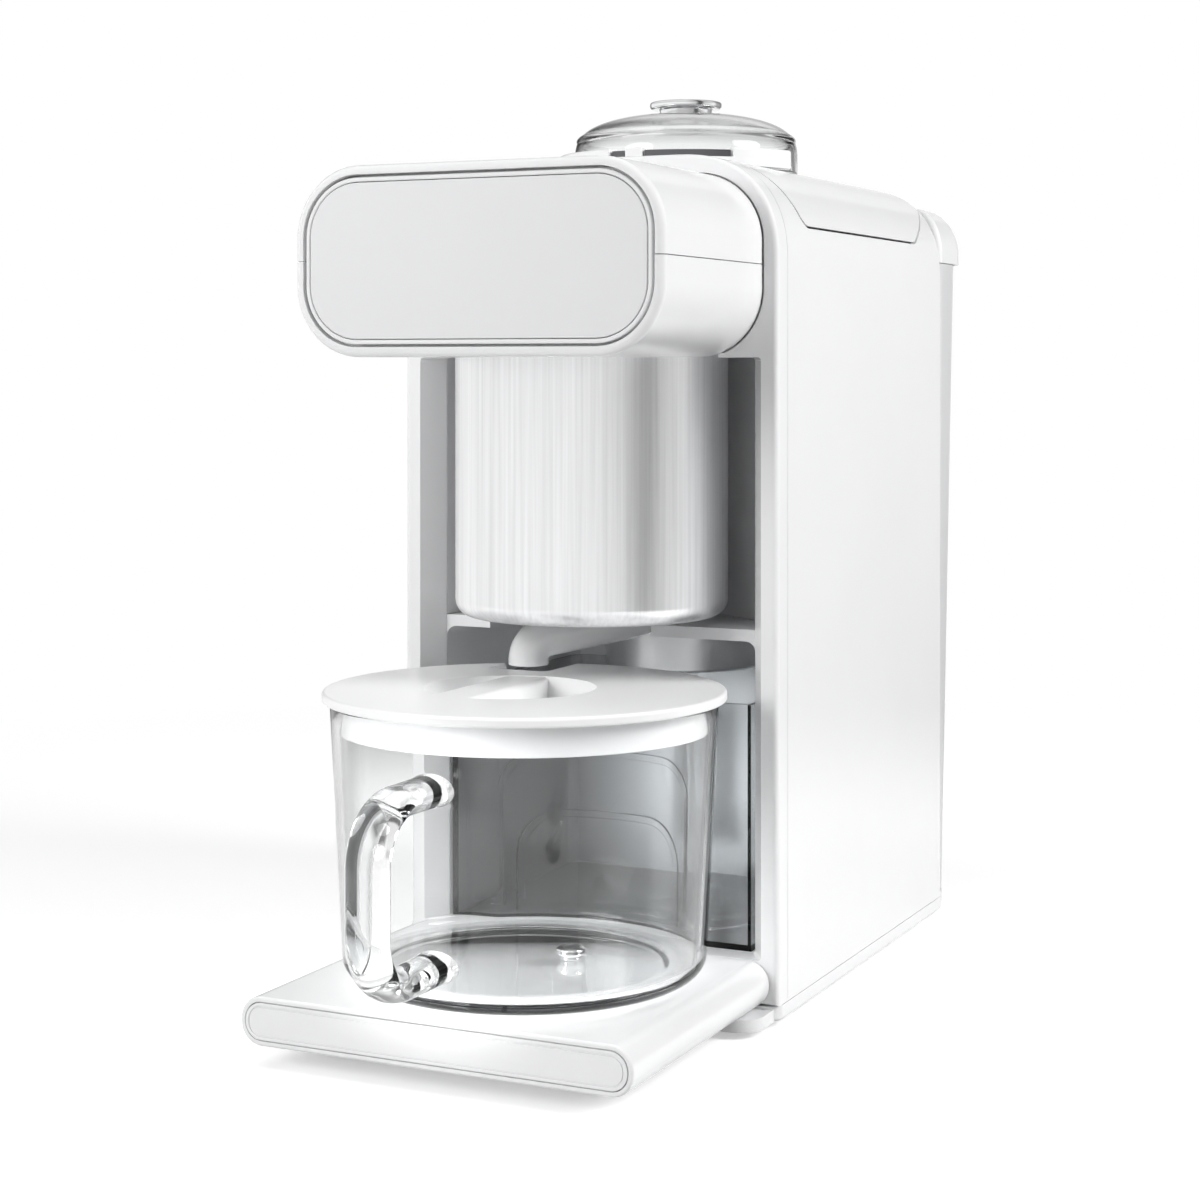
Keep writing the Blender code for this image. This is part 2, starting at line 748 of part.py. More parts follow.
def main_housing():
    front = rear(FRAME_DEPTH + CLEAR)
    back = rear(BODY_DEPTH)
    made = prism("main_housing", arch(), "Y", front, back)
    round_rim(made, 1, back, EDGE)
    hollow = inner_arch("housing_hollow", front - OVERRUN, back - WALL)
    grown = CLEAR
    middle = inlet_centre()
    hole = block(
        "inlet_hole",
        (-BODY_WIDTH * HALF_SHARE - OVERRUN, middle[1] - INLET_WIDTH * HALF_SHARE - grown,
         middle[2] - INLET_HEIGHT * HALF_SHARE - grown),
        (WALL * 2 - BODY_WIDTH * HALF_SHARE, middle[1] + INLET_WIDTH * HALF_SHARE + grown,
         middle[2] + INLET_HEIGHT * HALF_SHARE + grown),
    )
    return cut(made, hollow, cover_block("cover_space", SEAM_GAP), hole)


def top_cover():
    made = prism("top_cover", arch(), "Y", rear(FRAME_DEPTH + CLEAR), rear(BODY_DEPTH))
    round_rim(made, 1, rear(BODY_DEPTH), EDGE)
    hollow = inner_arch("cover_hollow", rear(0), rear(BODY_DEPTH - WALL))
    cup_hole = disc("cup_hole", GRINDER, CUP_RADIUS + SLIDE_CLEAR, BODY_TOP - WALL - OVERRUN,
                    BODY_TOP + OVERRUN)
    keep(made, cover_block("cover_shape", 0.0))
    return cut(made, hollow, cup_hole)


def opening_section(grow, depth):
    """Ring of points round the front opening, at a depth behind the front plane."""
    half = BODY_WIDTH * HALF_SHARE - FRAME_BAND + grow
    outline = rounded((-half, BAY_FLOOR), (half, HEAD_BOTTOM), (BAY_FOOT_CORNER,) * 4)
    return [(x, rear(depth), z) for x, z in outline]


def front_frame():
    made = prism("front_frame", arch(), "Y", rear(0), rear(FRAME_DEPTH))
    round_rim(made, 1, rear(0), FRAME_ROUND)
    narrow = BAY_WIDTH * HALF_SHARE - (BODY_WIDTH * HALF_SHARE - FRAME_BAND)
    steps = [opening_section(-narrow * OVERRUN / FRAME_DEPTH, -OVERRUN)]
    steps.append(opening_section(narrow * (1 + OVERRUN / FRAME_DEPTH), FRAME_DEPTH + OVERRUN))
    recess = disc("chamber_recess", CHAMBER, flange_radius() + CLEAR, HEAD_BOTTOM - OVERRUN,
                  cover_top() + OVERRUN)
    return cut(made, loft("opening", steps), recess)


def bay_liner():
    """Walls of the lower bay, with a roof that is cut away where the spout swings."""
    half = BAY_WIDTH * HALF_SHARE
    front = rear(FRAME_DEPTH + CLEAR)
    outer = box_outline(half + BAY_WALL, BAY_FLOOR - BAY_WALL, BAY_TOP + BAY_ROOF, BAY_WALL)
    made = prism("bay_liner", outer, "Y", front, rear(BAY_DEPTH + BAY_WALL), "white_satin")
    hollow = prism("bay_hollow", bay_outline(half), "Y", front - OVERRUN, rear(BAY_DEPTH))
    motor_hole = disc("motor_hole", GRINDER, MOTOR_RADIUS + CLEAR, BAY_TOP - OVERRUN,
                      BAY_TOP + BAY_ROOF + OVERRUN)
    return cut(made, hollow, motor_hole, spout_window("roof_window"))


def spout_window(name):
    """Room in the bay's roof for the spout to swing."""
    reach = Vector((SPOUT_ACROSS, SPOUT_FORWARD)).length + SPOUT_RADIUS
    left = PIVOT_X - reach - SLIDE_CLEAR
    right = PIVOT_X + VALVE_RADIUS + SLIDE_CLEAR
    back = rear(NICHE_DEPTH - NICHE_WALL)
    outline = rounded(
        (left, rear(0)), (right, back), (EDGE, EDGE, BAY_CORNER, BAY_CORNER)
    )
    return prism(name, outline, "Z", BAY_TOP - BAY_CORNER, BAY_TOP + BAY_ROOF + OVERRUN)


def niche_outline(grow, front):
    """Half ellipse behind the steel sleeve, open to the front."""
    half = BAY_WIDTH * HALF_SHARE + grow
    depth = NICHE_DEPTH - FRAME_DEPTH + grow
    points = [(-half, front), (half, front)]
    for step in range(1, 2 * ARCH_STEPS + 3):
        angle = pi * step / (2 * ARCH_STEPS + 4)
        points.append((half * cos(angle), rear(FRAME_DEPTH) + depth * sin(angle)))
    return points


def niche_liner():
    front = rear(FRAME_DEPTH + CLEAR)
    low = BAY_TOP + BAY_ROOF + CLEAR
    top = HEAD_BOTTOM + NICHE_WALL
    made = prism("niche_liner", niche_outline(NICHE_WALL, front), "Z", low, top, "white_satin")
    hollow = prism("niche_hollow", niche_outline(0.0, front - OVERRUN), "Z", low - OVERRUN,
                   HEAD_BOTTOM)
    hole = disc("sleeve_hole_rear", CHAMBER, SLEEVE_RADIUS + CLEAR, HEAD_BOTTOM - OVERRUN,
                top + OVERRUN)
    return cut(made, hollow, hole)


def tray():
    half = TRAY_WIDTH * HALF_SHARE
    front = rear(-TRAY_REACH)
    made = prism("tray", stadium(), "Y", front, rear(-CLEAR))
    round_rim(made, 1, front, EDGE)
    pocket = prism("trim_pocket", stadium(TRAY_TRIM_RIM - CLEAR), "Y", front - OVERRUN,
                   front + TRAY_TRIM_THICK + CLEAR)
    trim = prism("tray_trim", stadium(TRAY_TRIM_RIM), "Y", front - TRAY_TRIM_PROUD,
                 front + TRAY_TRIM_THICK)
    round_rim(trim, 1, front - TRAY_TRIM_PROUD, EDGE * HALF_SHARE, 1)
    return cut(made, pocket)


# Head


def head_shell(name, low, high):
    """Upper or lower half of the head between two heights."""
    front = rear(-HEAD_REACH)
    made = prism(name, head_outline(), "Y", front, rear(-CLEAR))
    round_rim(made, 1, front, HEAD_ROUND, 3)
    hollow = prism(name + "_hollow", head_outline(WALL), "Y",
                   front + FACE_THICK + FACE_SET_BACK + CLEAR + WALL, rear(0) + OVERRUN)
    pocket = prism(name + "_pocket", head_outline(FACE_RIM), "Y", front - OVERRUN,
                   front + FACE_THICK + FACE_SET_BACK + CLEAR)
    window = prism(name + "_window", head_outline(FACE_RIM * 2), "Y", front - OVERRUN,
                   front + FACE_THICK * 2 + OVERRUN)
    reach = HEAD_WIDTH * HALF_SHARE + OVERRUN
    half = block(name + "_half", (-reach, front - OVERRUN, low), (reach, rear(OVERRUN), high))
    cut(made, hollow, pocket, window)
    return keep(made, half)


def head_upper_shell():
    made = head_shell("head_upper_shell", HEAD_SEAM + CLEAR * HALF_SHARE, HEAD_TOP + OVERRUN)
    half = PANEL_WIDTH * HALF_SHARE + CLEAR
    recess = prism(
        "panel_recess",
        rounded(
            (-half, rear(-PANEL_BACK - PANEL_DEPTH) - CLEAR),
            (half, rear(-PANEL_BACK) + CLEAR),
            (PANEL_CORNER,) * 4,
        ),
        "Z",
        HEAD_TOP - PANEL_THICK,
        HEAD_TOP + OVERRUN,
    )
    return cut(made, recess)


def head_lower_shell():
    made = head_shell("head_lower_shell", HEAD_BOTTOM - OVERRUN, HEAD_SEAM - CLEAR * HALF_SHARE)
    hole = disc("sleeve_hole_front", CHAMBER, SLEEVE_RADIUS + CLEAR, HEAD_BOTTOM - OVERRUN,
                HEAD_BOTTOM + WALL + OVERRUN)
    seat = disc("flange_seat", CHAMBER, flange_radius() + CLEAR, HEAD_BOTTOM + WALL, cover_top())
    return cut(made, hole, seat)


def head_face():
    front = rear(-HEAD_REACH) + FACE_SET_BACK
    back = front + FACE_THICK
    ring = prism("face_ring", head_outline(FACE_RIM + FACE_GROOVE), "Y", front, back)
    inner = head_outline(FACE_RIM + FACE_GROOVE + FACE_RING)
    round_rim(ring, 1, front, FACE_GROOVE * HALF_SHARE, 1)
    cut(ring, prism("ring_hole", inner, "Y", front - OVERRUN, back + OVERRUN))
    plate = prism("face_plate", head_outline(FACE_RIM + FACE_GROOVE + FACE_RING + CLEAR),
                  "Y", front, back, "pale_grey")
    round_rim(plate, 1, front, CLEAR, 1)


def control_panel():
    outline = rounded(
        (-PANEL_WIDTH * HALF_SHARE, rear(-PANEL_BACK - PANEL_DEPTH)),
        (PANEL_WIDTH * HALF_SHARE, rear(-PANEL_BACK)),
        (PANEL_CORNER,) * 4,
    )
    prism("control_panel", outline, "Z", HEAD_TOP - PANEL_THICK + CLEAR, HEAD_TOP, "white_satin")


def control_board():
    """Board that hangs on two posts under the control panel."""
    half = CONTROL_BOARD_WIDTH * HALF_SHARE
    front = rear(-PANEL_BACK - CONTROL_BOARD_DEPTH)
    back = rear(-PANEL_BACK)
    roof = HEAD_TOP - WALL - CLEAR
    top = roof - PART_HEIGHT * HALF_SHARE
    made = block("control_board", (-half, front, top - BOARD_THICK), (half, back, top),
                 "circuit_green")
    for n, x in enumerate((-half + POST_RADIUS * 2, half - POST_RADIUS * 2)):
        for m, y in enumerate((front + POST_RADIUS * 2, back - POST_RADIUS * 2)):
            join(made, disc(f"board_post_{n}_{m}", (x, y), POST_RADIUS, top - BOARD_THICK * HALF_SHARE,
                            roof, sides=COARSE))
    chip = block("chip", (-PART_HEIGHT, front + PART_HEIGHT, top - BOARD_THICK - POST_RADIUS),
                 (PART_HEIGHT, front + PART_HEIGHT * 3, top - BOARD_THICK * HALF_SHARE))
    return join(made, chip)


# Grinding unit


def cup_radius(height):
    """Outer radius of the grinding cup, which narrows towards its floor."""
    share = (height - CUP_BOTTOM) / (BODY_TOP - CUP_BOTTOM)
    return CUP_FOOT_RADIUS + (CUP_RADIUS - CUP_FOOT_RADIUS) * share


def grinding_cup():
    top = BODY_TOP + CLEAR + CUP_WALL
    low = CUP_BOTTOM
    bend = CUP_CORNER
    outer_bend = bend + CUP_WALL
    turn = (cup_radius(low + outer_bend) - outer_bend, low + outer_bend)
    profile = [(SHAFT_HOLE, low + CUP_WALL)]
    profile += arc(turn, bend, -90, 0, 3)
    profile += [(CUP_RADIUS - CUP_WALL, top), (CUP_RADIUS + CUP_RIM, top)]
    profile += [(CUP_RADIUS + CUP_RIM, top - CUP_WALL), (CUP_RADIUS, top - CUP_WALL)]
    profile += arc(turn, outer_bend, 0, -90, 3)
    profile += [(SHAFT_HOLE, low)]
    turned("grinding_cup", GRINDER, profile, "polished_steel", PLAIN, closed=True)
    low = MOTOR_TOP + CLEAR
    high = CUP_BOTTOM - CLEAR
    ring = [(SHAFT_HOLE, high), (SUPPORT_RADIUS, high), (SUPPORT_RADIUS, low), (SHAFT_HOLE, low)]
    turned("cup_support", GRINDER, ring, "black_plastic", PLAIN, closed=True)


def blade():
    low = CUP_BOTTOM + CUP_WALL + SLIDE_CLEAR
    made = disc("blade", GRINDER, HUB_RADIUS, low, low + HUB_HEIGHT, "polished_steel", COARSE)
    middle = low + HUB_HEIGHT * HALF_SHARE
    share = BLADE_TIP_SHARE
    for n in range(BLADE_COUNT):
        outline = [
            (0.0, -BLADE_WIDTH * HALF_SHARE),
            (BLADE_LENGTH * (1 - share), -BLADE_WIDTH * HALF_SHARE),
            (BLADE_LENGTH, BLADE_WIDTH * share * HALF_SHARE),
            (BLADE_LENGTH * (1 - share), BLADE_WIDTH * HALF_SHARE),
            (0.0, BLADE_WIDTH * HALF_SHARE),
        ]
        wing = prism(f"wing_{n}", outline, "Z", -BLADE_THICK * HALF_SHARE, BLADE_THICK * HALF_SHARE)
        turn = Matrix.Rotation(2 * pi * n / BLADE_COUNT, 4, "Z")
        pitch = Matrix.Rotation(radians(BLADE_PITCH_DEG * (1 if n % 2 else -1) * HALF_SHARE), 4, "X")
        wing.matrix_world = Matrix.Translation((*GRINDER, middle)) @ turn @ pitch
        join(made, wing)
    bore = disc("blade_bore", GRINDER, SHAFT_RADIUS + CLEAR, low - OVERRUN,
                low + HUB_HEIGHT + OVERRUN, sides=COARSE)
    return cut(made, bore)


def motor():
    radius, wall, low, top = MOTOR_RADIUS, MOTOR_WALL, MOTOR_BOTTOM, MOTOR_TOP
    inner = radius - wall
    profile = [(0.0, low + wall), (inner, low + wall), (inner, top - wall)]
    profile += [(SHAFT_HOLE, top - wall), (SHAFT_HOLE, top), (radius, top)]
    profile += arc((radius - MOTOR_CORNER, low + MOTOR_CORNER), MOTOR_CORNER, 0, -90, 3)
    profile += [(0.0, low)]
    turned("motor_housing", GRINDER, profile, "cast_aluminium")
    outer = inner - CLEAR
    ring = [(STATOR_INNER, STATOR_TOP), (outer, STATOR_TOP), (outer, STATOR_BOTTOM),
            (STATOR_INNER, STATOR_BOTTOM)]
    turned("motor_stator", GRINDER, ring, "dark_iron", FINE, closed=True)
    high = STATOR_TOP - ROTOR_SHORTER
    deep = STATOR_BOTTOM + ROTOR_SHORTER
    bore = SHAFT_RADIUS + CLEAR
    ring = [(bore, high), (ROTOR_RADIUS, high), (ROTOR_RADIUS, deep), (bore, deep)]
    turned("motor_rotor", GRINDER, ring, "dark_iron", PLAIN, closed=True)
    disc("drive_shaft", GRINDER, SHAFT_RADIUS, low + wall + CLEAR, SHAFT_TOP, "polished_steel",
         COARSE)


def gasket_low():
    return BODY_TOP + CUP_WALL + CLEAR * 2


def dome_lid():
    """Gasket on the cup's rim, and the clear dome with its metal knob."""
    low = gasket_low()
    inner = DOME_RADIUS - DOME_WALL
    outer = inner - CLEAR
    hole = outer - GASKET_WIDTH
    ring = [(hole, low + GASKET_THICK), (outer, low + GASKET_THICK), (outer, low), (hole, low)]
    turned("cup_gasket", GRINDER, ring, "silicone", FINE, closed=True)

    foot = BODY_TOP + CLEAR
    crown = foot + DOME_HEIGHT
    shoulder = crown - DOME_SHOULDER
    outside = dome_curve(DOME_RADIUS, shoulder, crown, ARCH_STEPS)
    inside = dome_curve(inner, shoulder - DOME_WALL * HALF_SHARE, crown - DOME_WALL, CORNER_STEPS)
    profile = [*outside, (DOME_RADIUS, foot), (inner, foot), *reversed(inside)]
    turned("dome", GRINDER, profile, "clear_glass")
    knob()


def dome_curve(radius, shoulder, crown, steps):
    """Profile from the crown down to the shoulder: a low crown over full sides."""
    points = []
    for step in range(steps + 1):
        angle = radians(90.0 - 90.0 * step / steps)
        across = cos(angle) ** DOME_ACROSS_SHARE
        up = max(sin(angle), 0.0) ** DOME_RISE_SHARE
        points.append((radius * across, shoulder + (crown - shoulder) * up))
    return points


def knob():
    low = BODY_TOP + CLEAR * 2 + DOME_HEIGHT
    base = low + NECK_HEIGHT
    top = base + KNOB_THICK
    edge = KNOB_THICK * HALF_SHARE
    profile = [(0.0, top), (KNOB_RADIUS - edge, top)]
    profile += arc((KNOB_RADIUS - edge, top - edge), edge, 60, -60, 4)
    profile += [(KNOB_RADIUS - edge, base), (NECK_RADIUS, base), (NECK_RADIUS, low), (0.0, low)]
    turned("dome_knob", GRINDER, profile, "polished_steel", PLAIN)


def lid_collar():
    """Raised collar round the front of the dome, with a long slot on the right and a short one."""
    low = BODY_TOP + CLEAR
    top = low + COLLAR_HEIGHT
    outer = COLLAR_RADIUS
    inner = outer - COLLAR_WALL
    ring = [(inner, top), (outer - EDGE, top), (outer, top - EDGE), (outer, low), (inner, low)]
    made = turned("lid_collar", GRINDER, ring, "white_gloss", FINE, closed=True)
    reach = outer + OVERRUN
    behind = -outer * cos(radians(COLLAR_HALF_ANGLE_DEG))
    rear_half = block("collar_rear", (-reach, GRINDER[1] + behind, low - OVERRUN),
                      (reach, GRINDER[1] + reach, top + OVERRUN))
    cut(made, rear_half)
    for name, start, end in (
        ("slot_right", SLOT_START_DEG, SLOT_END_DEG),
        ("slot_left", -SHORT_SLOT_END_DEG, -SLOT_START_DEG),
    ):
        cut(made, wedge(name, inner - OVERRUN, reach, start, end, top - SLOT_HEIGHT,
                        top + OVERRUN))
    return made


def wedge(name, inner, outer, start_deg, end_deg, low, high):
    """Part of a ring round the grinder's axis, with angles counted from the front to the right."""
    steps = CORNER_STEPS
    turns = [radians(start_deg + (end_deg - start_deg) * n / steps - 90.0) for n in range(steps + 1)]
    outline = [(GRINDER[0] + outer * cos(t), GRINDER[1] + outer * sin(t)) for t in turns]
    outline += [(GRINDER[0] + inner * cos(t), GRINDER[1] + inner * sin(t)) for t in reversed(turns)]
    return prism(name, outline, "Z", low, high)


# Mixing chamber and spout


def flange_radius():
    return SLEEVE_RADIUS + SLEEVE_FLANGE


def mixing_chamber():
    radius, wall = SLEEVE_RADIUS, SLEEVE_WALL
    seat = HEAD_BOTTOM + WALL + CLEAR
    top = seat + wall
    low, bend = SLEEVE_BOTTOM, SLEEVE_ROUND
    centre = (radius - bend, low + bend)
    inner = arc(centre, bend - wall, -90, 0, 3)
    outer = arc(centre, bend, 0, -90, 4)
    profile = [*inner, (radius - wall, top), (radius + SLEEVE_FLANGE, top),
               (radius + SLEEVE_FLANGE, seat), (radius, seat), *outer]
    turned("chamber_sleeve", CHAMBER, profile, "brushed_steel", FINE, closed=True)

    seat = top + CLEAR
    top = seat + POT_WALL
    inner_radius = POT_RADIUS - POT_WALL
    centre = (inner_radius - POT_CORNER, POT_BOTTOM + POT_WALL + POT_CORNER)
    flange = POT_RADIUS + POT_FLANGE
    profile = [(0.0, POT_BOTTOM + POT_WALL), *arc(centre, POT_CORNER, -90, 0, 3)]
    profile += [(inner_radius, top), (flange, top), (flange, seat), (POT_RADIUS, seat)]
    profile += arc(centre, POT_CORNER + POT_WALL, 0, -90, 3)
    profile += [(0.0, POT_BOTTOM)]
    turned("mixing_pot", CHAMBER, profile, "polished_steel", PLAIN)
    cover = disc("chamber_cover", CHAMBER, flange - POT_WALL, top + CLEAR, cover_top(),
                 "milky_plastic", PLAIN)
    port = transfer_port()
    join(cover, disc("cover_port", port, TUBE_RADIUS * 2, cover_top() - LID_THICK * HALF_SHARE,
                     cover_top() + LID_THICK, sides=COARSE))
    disc("outlet_valve", PIVOT, VALVE_RADIUS, SPOUT_TOP + CLEAR, POT_BOTTOM - CLEAR,
         "white_satin", PLAIN)


def transfer_port():
    return (0.0, CHAMBER[1] + POT_RADIUS * HALF_SHARE)


def cover_top():
    """Top of the chamber's cover, over the flanges that it rests on."""
    return HEAD_BOTTOM + WALL + SLEEVE_WALL + POT_WALL + LID_THICK + CLEAR * 3


def spout():
    """Bent pipe that hangs from the valve and turns about its first, vertical stretch."""
    made = spout_solid("spout", SPOUT_RADIUS, 0.0)
    bore = spout_solid("spout_bore", SPOUT_RADIUS - SPOUT_WALL, OVERRUN)
    cut(made, bore)
    return put_origin(made, (*PIVOT, SPOUT_TOP))


def spout_tip():
    return (PIVOT[0] - SPOUT_ACROSS, PIVOT[1] - SPOUT_FORWARD)


def spout_solid(name, radius, longer):
    """Two upright stretches with round ends, and the bent stretch between them."""
    elbow = SPOUT_TOP - SPOUT_ELBOW
    mouth = SPOUT_TIP + SPOUT_MOUTH
    profile = [(0.0, SPOUT_TOP + longer), (radius, SPOUT_TOP + longer)]
    profile += [*arc((0.0, elbow), radius, 0, -90)]
    made = turned(name, PIVOT, profile, steps=SPOUT_SIDES)
    profile = [*arc((0.0, mouth), radius, 90, 0), (radius, SPOUT_TIP - longer)]
    profile += [(0.0, SPOUT_TIP - longer)]
    down = turned(name + "_mouth", spout_tip(), profile, steps=SPOUT_SIDES)
    route = [
        (PIVOT[0] - SPOUT_ACROSS * across, PIVOT[1] - SPOUT_FORWARD * along,
         elbow + (mouth - elbow) * (across + along) * HALF_SHARE)
        for across, along in SPOUT_SHARES
    ]
    bent = tube(name + "_bend", smooth_route(route, 2), radius - CLEAR * HALF_SHARE, resolution=4)
    return join(made, down, bent)


def put_origin(obj, place):
    """Moves an object's origin to a place without moving its shape."""
    bpy.context.view_layer.update()
    shift = Matrix.Translation(obj.matrix_world.inverted() @ Vector(place))
    obj.data.transform(shift.inverted())
    obj.matrix_world = obj.matrix_world @ shift
    return obj


# Jug


def jug_radius(height):
    share = (height - JUG_BOTTOM) / (JUG_TOP - JUG_BOTTOM)
    return JUG_FOOT_RADIUS + (JUG_TOP_RADIUS - JUG_FOOT_RADIUS) * share


def jug_outer_profile():
    low, bend = JUG_BOTTOM, JUG_CORNER
    side = jug_radius(low + bend)
    return [(jug_radius(JUG_TOP), JUG_TOP), *arc((side - bend, low + bend), bend, 0, -90)]


def jug():
    floor = JUG_BOTTOM + JUG_FLOOR
    bend = JUG_CORNER - JUG_WALL
    side = jug_radius(floor + bend) - JUG_WALL
    inner = [(0.0, floor), *arc((side - bend, floor + bend), bend, -90, 0)]
    inner += [(JUG_TOP_RADIUS - JUG_WALL, JUG_TOP)]
    made = turned("jug", JUG, [*inner, *jug_outer_profile(), (0.0, JUG_BOTTOM)], "clear_glass")
    solid = turned("jug_body_space", JUG, [(0.0, JUG_TOP + OVERRUN), *jug_outer_grown(),
                                           (0.0, JUG_BOTTOM)])
    handle = jug_handle()
    cut(handle, solid)
    bpy.context.view_layer.update()
    return join(made, handle)


def jug_outer_grown():
    """Outer side of the jug, set in by half its wall, so that the handle bites into the glass."""
    inset = JUG_WALL * HALF_SHARE
    return [(radius - inset, height) for radius, height in jug_outer_profile()]


def jug_handle():
    """D handle that points to the front: a flattened rod."""
    top = JUG_TOP - HANDLE_TOP_DROP
    low = top - HANDLE_HEIGHT
    bend = HANDLE_BEND
    wall_top = jug_radius(top) - JUG_WALL
    wall_low = jug_radius(low) - JUG_WALL
    out = JUG_TOP_RADIUS + HANDLE_REACH
    route = [(wall_top - JUG_WALL, top)]
    route += arc((out - bend, top - bend), bend, 90, 0, 4)
    route += arc((out - bend, low + bend), bend, 0, -90, 4)
    route += [(wall_low - JUG_WALL, low)]
    points = [(0.0, -radius, height) for radius, height in route]
    made = tube("jug_handle", points, HANDLE_THICK * HALF_SHARE, "clear_glass", 6)
    stretch = Matrix.Diagonal((HANDLE_STRETCH_SHARE, 1.0, 1.0, 1.0))
    made.data.transform(stretch)
    made.location = (*JUG, 0.0)
    return made


def jug_stud():
    """Steel stud on the jug's floor, right of its middle and a little behind it."""
    place = (JUG[0] + STUD_ASIDE, JUG[1] + STUD_BEHIND)
    low = JUG_BOTTOM + JUG_FLOOR + CLEAR
    top = low + STUD_HEIGHT
    profile = [(0.0, top), *arc((STUD_RADIUS - EDGE * 2, top - EDGE * 2), EDGE * 2, 90, 0, 3)]
    profile += [(STUD_RADIUS, low), (0.0, low)]
    turned("jug_stud", place, profile, "polished_steel", COARSE)


def jug_lid():
    """Lid with a skirt inside the jug, a round finger well, a grip bar and a notch for the spout."""
    low = JUG_TOP + CLEAR
    top = low + JUG_LID_THICK
    skirt = JUG_TOP_RADIUS - JUG_WALL - SLIDE_CLEAR
    skirt_low = JUG_TOP - JUG_LID_SKIRT
    under = low + JUG_LID_THICK - JUG_LID_SHEET
    profile = [(0.0, top), (JUG_LID_RADIUS - EDGE, top), (JUG_LID_RADIUS, top - EDGE)]
    profile += [(JUG_LID_RADIUS, low), (skirt, low), (skirt - EDGE, skirt_low)]
    profile += [(skirt - EDGE - JUG_LID_SHEET, skirt_low), (skirt - JUG_LID_SHEET, under)]
    profile += [(0.0, under)]
    made = turned("jug_lid", JUG, profile)
    well = (JUG[0] + WELL_X, JUG[1])
    bowl = disc("well_bowl", well, WELL_RADIUS * WELL_FOOT_SHARE + JUG_LID_SHEET,
                top - WELL_DEPTH - JUG_LID_SHEET, top - EDGE, sides=FINE,
                top_radius=WELL_RADIUS + JUG_LID_SHEET)
    hollow = disc("well_hollow", well, WELL_RADIUS * WELL_FOOT_SHARE, top - WELL_DEPTH, top + EDGE,
                  sides=FINE, top_radius=WELL_RADIUS)
    join(made, bowl)
    cut(made, hollow)
    grip = (JUG[0] + GRIP_X, JUG[1])
    reach = WELL_RADIUS + JUG_LID_SHEET * HALF_SHARE
    half = GRIP_WIDTH * HALF_SHARE
    bar = block("grip_bar", (grip[0] - half, grip[1] - reach, top - WELL_DEPTH - EDGE),
                (grip[0] + half, grip[1] + reach, top - CLEAR))
    keep(bar, disc("bar_limit", well, reach, top - WELL_DEPTH * 2, top + OVERRUN))
    bpy.context.view_layer.update()
    join(made, bar)
    tip_x, tip_y = spout_tip()
    notch = rounded(
        (tip_x - NOTCH_WIDTH * HALF_SHARE, tip_y - NOTCH_FRONT),
        (tip_x + NOTCH_WIDTH * HALF_SHARE, JUG[1] + JUG_LID_RADIUS + OVERRUN),
        (NOTCH_CORNER, NOTCH_CORNER, EDGE, EDGE),
    )
    cut(made, prism("spout_notch", notch, "Z", skirt_low - OVERRUN, top + OVERRUN))
    return made


# Waste water box


def box_front(grow):
    """Plan of the box: rounded at the rear, and hollowed at the front round the jug."""
    half = BOX_WIDTH * HALF_SHARE - grow
    back = rear(BOX_REAR) - grow
    radius = JUG_TOP_RADIUS + BOX_JUG_GAP + grow
    edge = rear(FRAME_DEPTH) + grow
    start = degrees(acos((edge - JUG[1]) / radius))
    points = [(-half, edge)]
    points += arc(JUG, radius, 90 + start, 90 - start, 2 * ARCH_STEPS)
    points.append((half, edge))
    points += corner((half - BOX_CORNER, back - BOX_CORNER), BOX_CORNER, 0)
    points += corner((BOX_CORNER - half, back - BOX_CORNER), BOX_CORNER, 90)
    return points


def waste_box():
    low = BAY_FLOOR + CLEAR
    made = prism("waste_box", box_front(0.0), "Z", low, BOX_TOP, "clear_plastic")
    hollow = prism("box_hollow", box_front(BOX_WALL), "Z", low + BOX_WALL, BOX_TOP + OVERRUN)
    cut(made, hollow)
    for n, (width, height) in enumerate(
        ((RIB_OUTER_WIDTH, RIB_OUTER_HEIGHT), (RIB_INNER_WIDTH, RIB_INNER_HEIGHT))
    ):
        join(made, box_rib(f"box_rib_{n}", width, height))
    return made


def box_rib(name, width, height):
    """Raised arch on the hollowed front of the box."""
    low = BAY_FLOOR + CLEAR + RIB_WIDTH
    front = rear(FRAME_DEPTH)
    back = JUG[1] + JUG_TOP_RADIUS + BOX_JUG_GAP + BOX_WALL
    half = width * HALF_SHARE
    radii = (EDGE, EDGE, RIB_CORNER, RIB_CORNER)
    made = prism(name, rounded((-half, low), (half, low + height), radii), "Y", front, back)
    inner = half - RIB_WIDTH
    radii = (EDGE, EDGE, RIB_CORNER - RIB_WIDTH, RIB_CORNER - RIB_WIDTH)
    hole = rounded((-inner, low + RIB_WIDTH), (inner, low + height - RIB_WIDTH), radii)
    cut(made, prism(name + "_hole", hole, "Y", front - OVERRUN, back + OVERRUN))
    face = JUG_TOP_RADIUS + BOX_JUG_GAP - RIB_PROUD
    ring = [(face, BOX_TOP), (face + RIB_PROUD + BOX_WALL * HALF_SHARE, BOX_TOP),
            (face + RIB_PROUD + BOX_WALL * HALF_SHARE, BAY_FLOOR), (face, BAY_FLOOR)]
    keep(made, turned(name + "_ring", JUG, ring, steps=FINE * 2, closed=True))
    return made


# Tank


